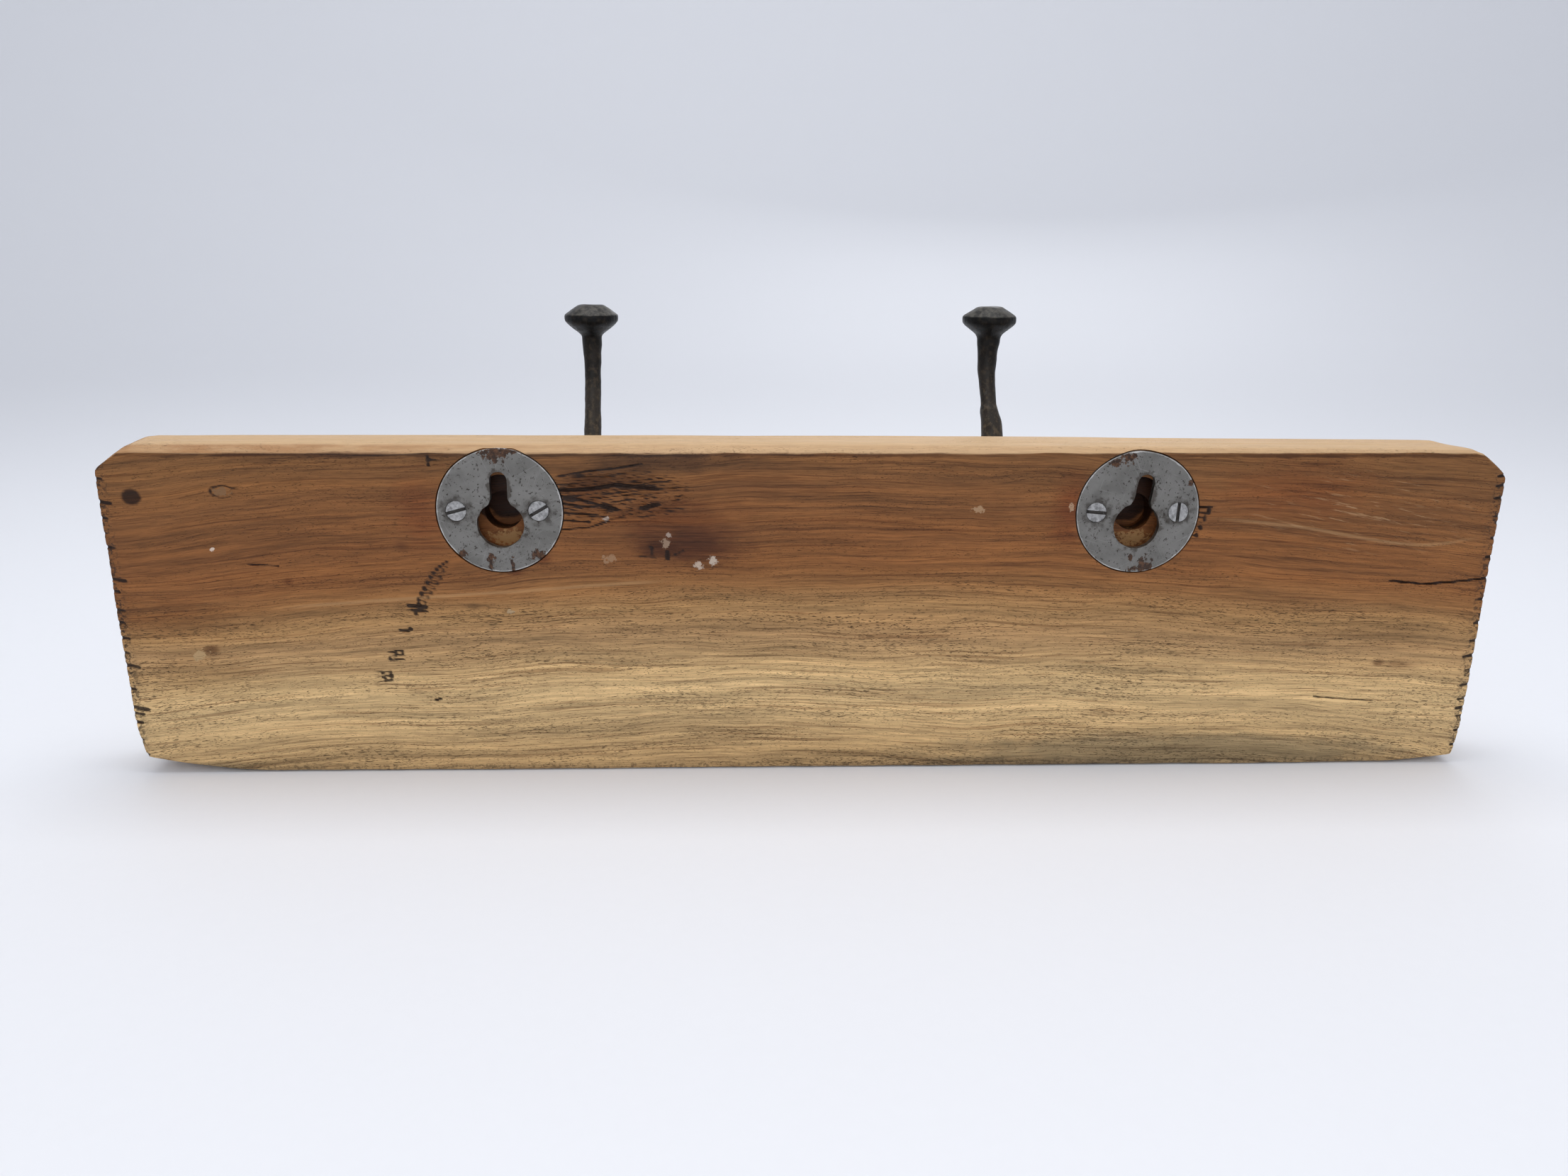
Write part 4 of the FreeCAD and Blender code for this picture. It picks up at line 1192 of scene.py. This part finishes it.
def make_iron():
    """Black scale with brown wax and dust in its hollows, rubbed bright on the high spots, and painted
    lighter on the faces that look up as a highlight.
    """
    material, tree, shader, place, facing = new_material("forged_iron")
    mottle = clouds(tree, stretched(tree, place, 1.6, 2.0), 5, 0.66)
    blotch = clouds(tree, stretched(tree, place, 5.5, 9.0), 3, 0.55)
    pits = fade_between(tree, clouds(tree, stretched(tree, place, 0.6, 0.6), 2), 0.60, 0.70)
    level = add_node(tree, "SeparateXYZ", {0: place}).outputs[2]
    handled = fade_between(tree, plus(tree, level, centred(tree, blotch, 40)), 48, 84, 1, 0)
    colour = lay_over(tree, handled, tint(0.003, 0.003, 0.003), tint(0.046, 0.038, 0.030))
    waxed = plus(tree, 0.10, times(tree, handled, fade_between(tree, blotch, 0.35, 0.62, 0.25, 0.85)))
    wax = times(tree, fade_between(tree, mottle, 0.46, 0.70), waxed)
    colour = lay_over(tree, wax, colour, tint(0.150, 0.110, 0.068))
    worn_edge = add_node(tree, "NewGeometry").outputs["Pointiness"]
    uneven_edge = plus(tree, worn_edge, centred(tree, mottle, 0.08))
    rubbed = times(tree, fade_between(tree, uneven_edge, 0.53, 0.575), 0.35)
    up = add_node(tree, "SeparateXYZ", {0: facing}).outputs[2]
    # painted highlight: faces that look upward, the tops of the knobs most of all, are painted lighter, in
    # the same colour as the rubbed edges
    top = times(tree, fade_between(tree, up, 0.40, 0.75), fade_between(tree, mottle, 0.36, 0.62, 0.15, 0.8))
    colour = lay_over(tree, calc(tree, "MAXIMUM", rubbed, top), colour, tint(0.098, 0.090, 0.076))
    shader.inputs["Metallic"].default_value = 0.0
    shader.inputs["Specular IOR Level"].default_value = 0.15
    roughness = fade_between(tree, mottle, 0.35, 0.65, 0.32, 0.50)
    relief = minus(tree, mottle, times(tree, pits, 0.5))
    finish_with(tree, shader, colour, roughness, relief, 0.10)
    return material


iron = make_iron()
for side in SIDES:
    give_finish(forge_hook(side), iron)


# ---------------------------------------------------------------- the hook screws
# Four blackened slotted wood screws, countersunk into the hook plates from the front and driven
# through them into the board. Wax and dust have filled their slots.
black_steel = make_screw_steel("blackened_screw", (0.150, 0.140, 0.125), (0.010, 0.008, 0.007),
                               HOOK_FACE + 0.75, HOOK_FACE + 0.30, 0.6)
for side in SIDES:
    for position, turned in zip(SCREW_POSITIONS, (35, 70)):
        screw = make_screw("%s_hook_screw_%s" % (side, position), "hook_screw_%s_%s" % (side, position),
                           face=HOOK_FACE - 0.05, way=-1, head=4.1, shank=2.1, length=18, turned=turned,
                           slot=(1.1, 1.1))
        give_finish(screw, black_steel)


# ---------------------------------------------------------------- floor, light and camera
# A plain pale table that sweeps up into a pale wall all round, lit by large soft lights. Sizes and
# places here are in metres.
TABLE_RADIUS = 1.5
SWEEP_RADIUS = 1.4
SWEEP_STEPS = 12
WALL_HEIGHT = 1.2
bpy.ops.mesh.primitive_circle_add(vertices=96, radius=TABLE_RADIUS, fill_type="NGON",
                                  location=(0, 0, board_low.z * MM))
floor = take_new("floor")
bpy.ops.object.mode_set(mode="EDIT")
bpy.ops.mesh.select_mode(type="EDGE")
bpy.ops.mesh.select_all(action="SELECT")
bpy.ops.mesh.region_to_loop()
reach, risen = TABLE_RADIUS, 0
for step in range(1, SWEEP_STEPS + 1):
    angle = math.radians(90 * step / SWEEP_STEPS)
    next_reach = TABLE_RADIUS + SWEEP_RADIUS * math.sin(angle)
    next_risen = SWEEP_RADIUS * (1 - math.cos(angle))
    bpy.ops.mesh.extrude_region_move(TRANSFORM_OT_translate={"value": (0, 0, next_risen - risen)})
    bpy.ops.transform.resize(value=(next_reach / reach, next_reach / reach, 1), center_override=(0, 0, 0))
    reach, risen = next_reach, next_risen
bpy.ops.mesh.extrude_region_move(TRANSFORM_OT_translate={"value": (0, 0, WALL_HEIGHT)})
bpy.ops.object.mode_set(mode="OBJECT")
shade_smooth(floor, 60)


def make_table_white():
    material, tree, shader, place, facing = new_material("table_white")
    speck = clouds(tree, stretched(tree, place, 3, 3), 2)
    colour = lay_over(tree, times(tree, speck, 0.03), tint(0.86, 0.87, 0.90), tint(0.5, 0.5, 0.5))
    tree.links.new(colour, shader.inputs["Base Color"])
    shader.inputs["Roughness"].default_value = 0.6
    return material


give_finish(floor, make_table_white())


def add_softbox(name, place, aim, width, height, power):
    """A large rectangular light at a place, turned to face its aim; its power is in watts."""
    light = bpy.data.lights.new(name, "AREA")
    light.shape = "RECTANGLE"
    light.size, light.size_y = width, height
    light.energy = power
    lamp = bpy.data.objects.new(name, light)
    bpy.context.scene.collection.objects.link(lamp)
    lamp.location = place
    lamp.rotation_euler = (Vector(aim) - Vector(place)).to_track_quat("-Z", "Y").to_euler()


add_softbox("overhead", (0.0, -0.12, 1.0), (0, 0, 0), 0.9, 0.6, 5.5)
add_softbox("behind_camera", (0.1, 1.3, 0.7), (0, 0, 0), 1.4, 0.9, 6)
add_softbox("front_fill", (-0.5, -1.9, 0.9), (0, 0, 0), 0.9, 0.9, 3.0)
add_softbox("on_the_wall", (0.0, -1.5, 1.5), (0, -2.9, 0.7), 1.8, 0.8, 5.2)

world = bpy.data.worlds.new("studio")
bpy.context.scene.world = world
world.use_nodes = True
background = world.node_tree.nodes["Background"]
background.inputs["Color"].default_value = (0.90, 0.93, 1.0, 1)
background.inputs["Strength"].default_value = 0.62

VIEW_PLACE = (0.02116, 0.3424, 0.10729)
VIEW_FORWARD = (-0.03348, -0.96014, -0.27749)
VIEW_UPWARD = (-0.00306, -0.27755, 0.96071)
view = bpy.data.cameras.new("view")
view.lens = 26.27
view.sensor_width = 36
camera = bpy.data.objects.new("view", view)
bpy.context.scene.collection.objects.link(camera)
forward = Vector(VIEW_FORWARD).normalized()
sideways = forward.cross(Vector(VIEW_UPWARD)).normalized()
aim = Matrix((sideways, sideways.cross(forward), -forward)).transposed()
camera.matrix_world = Matrix.Translation(VIEW_PLACE) @ aim.to_4x4()
bpy.context.scene.camera = camera
bpy.context.scene.view_settings.view_transform = "Standard"
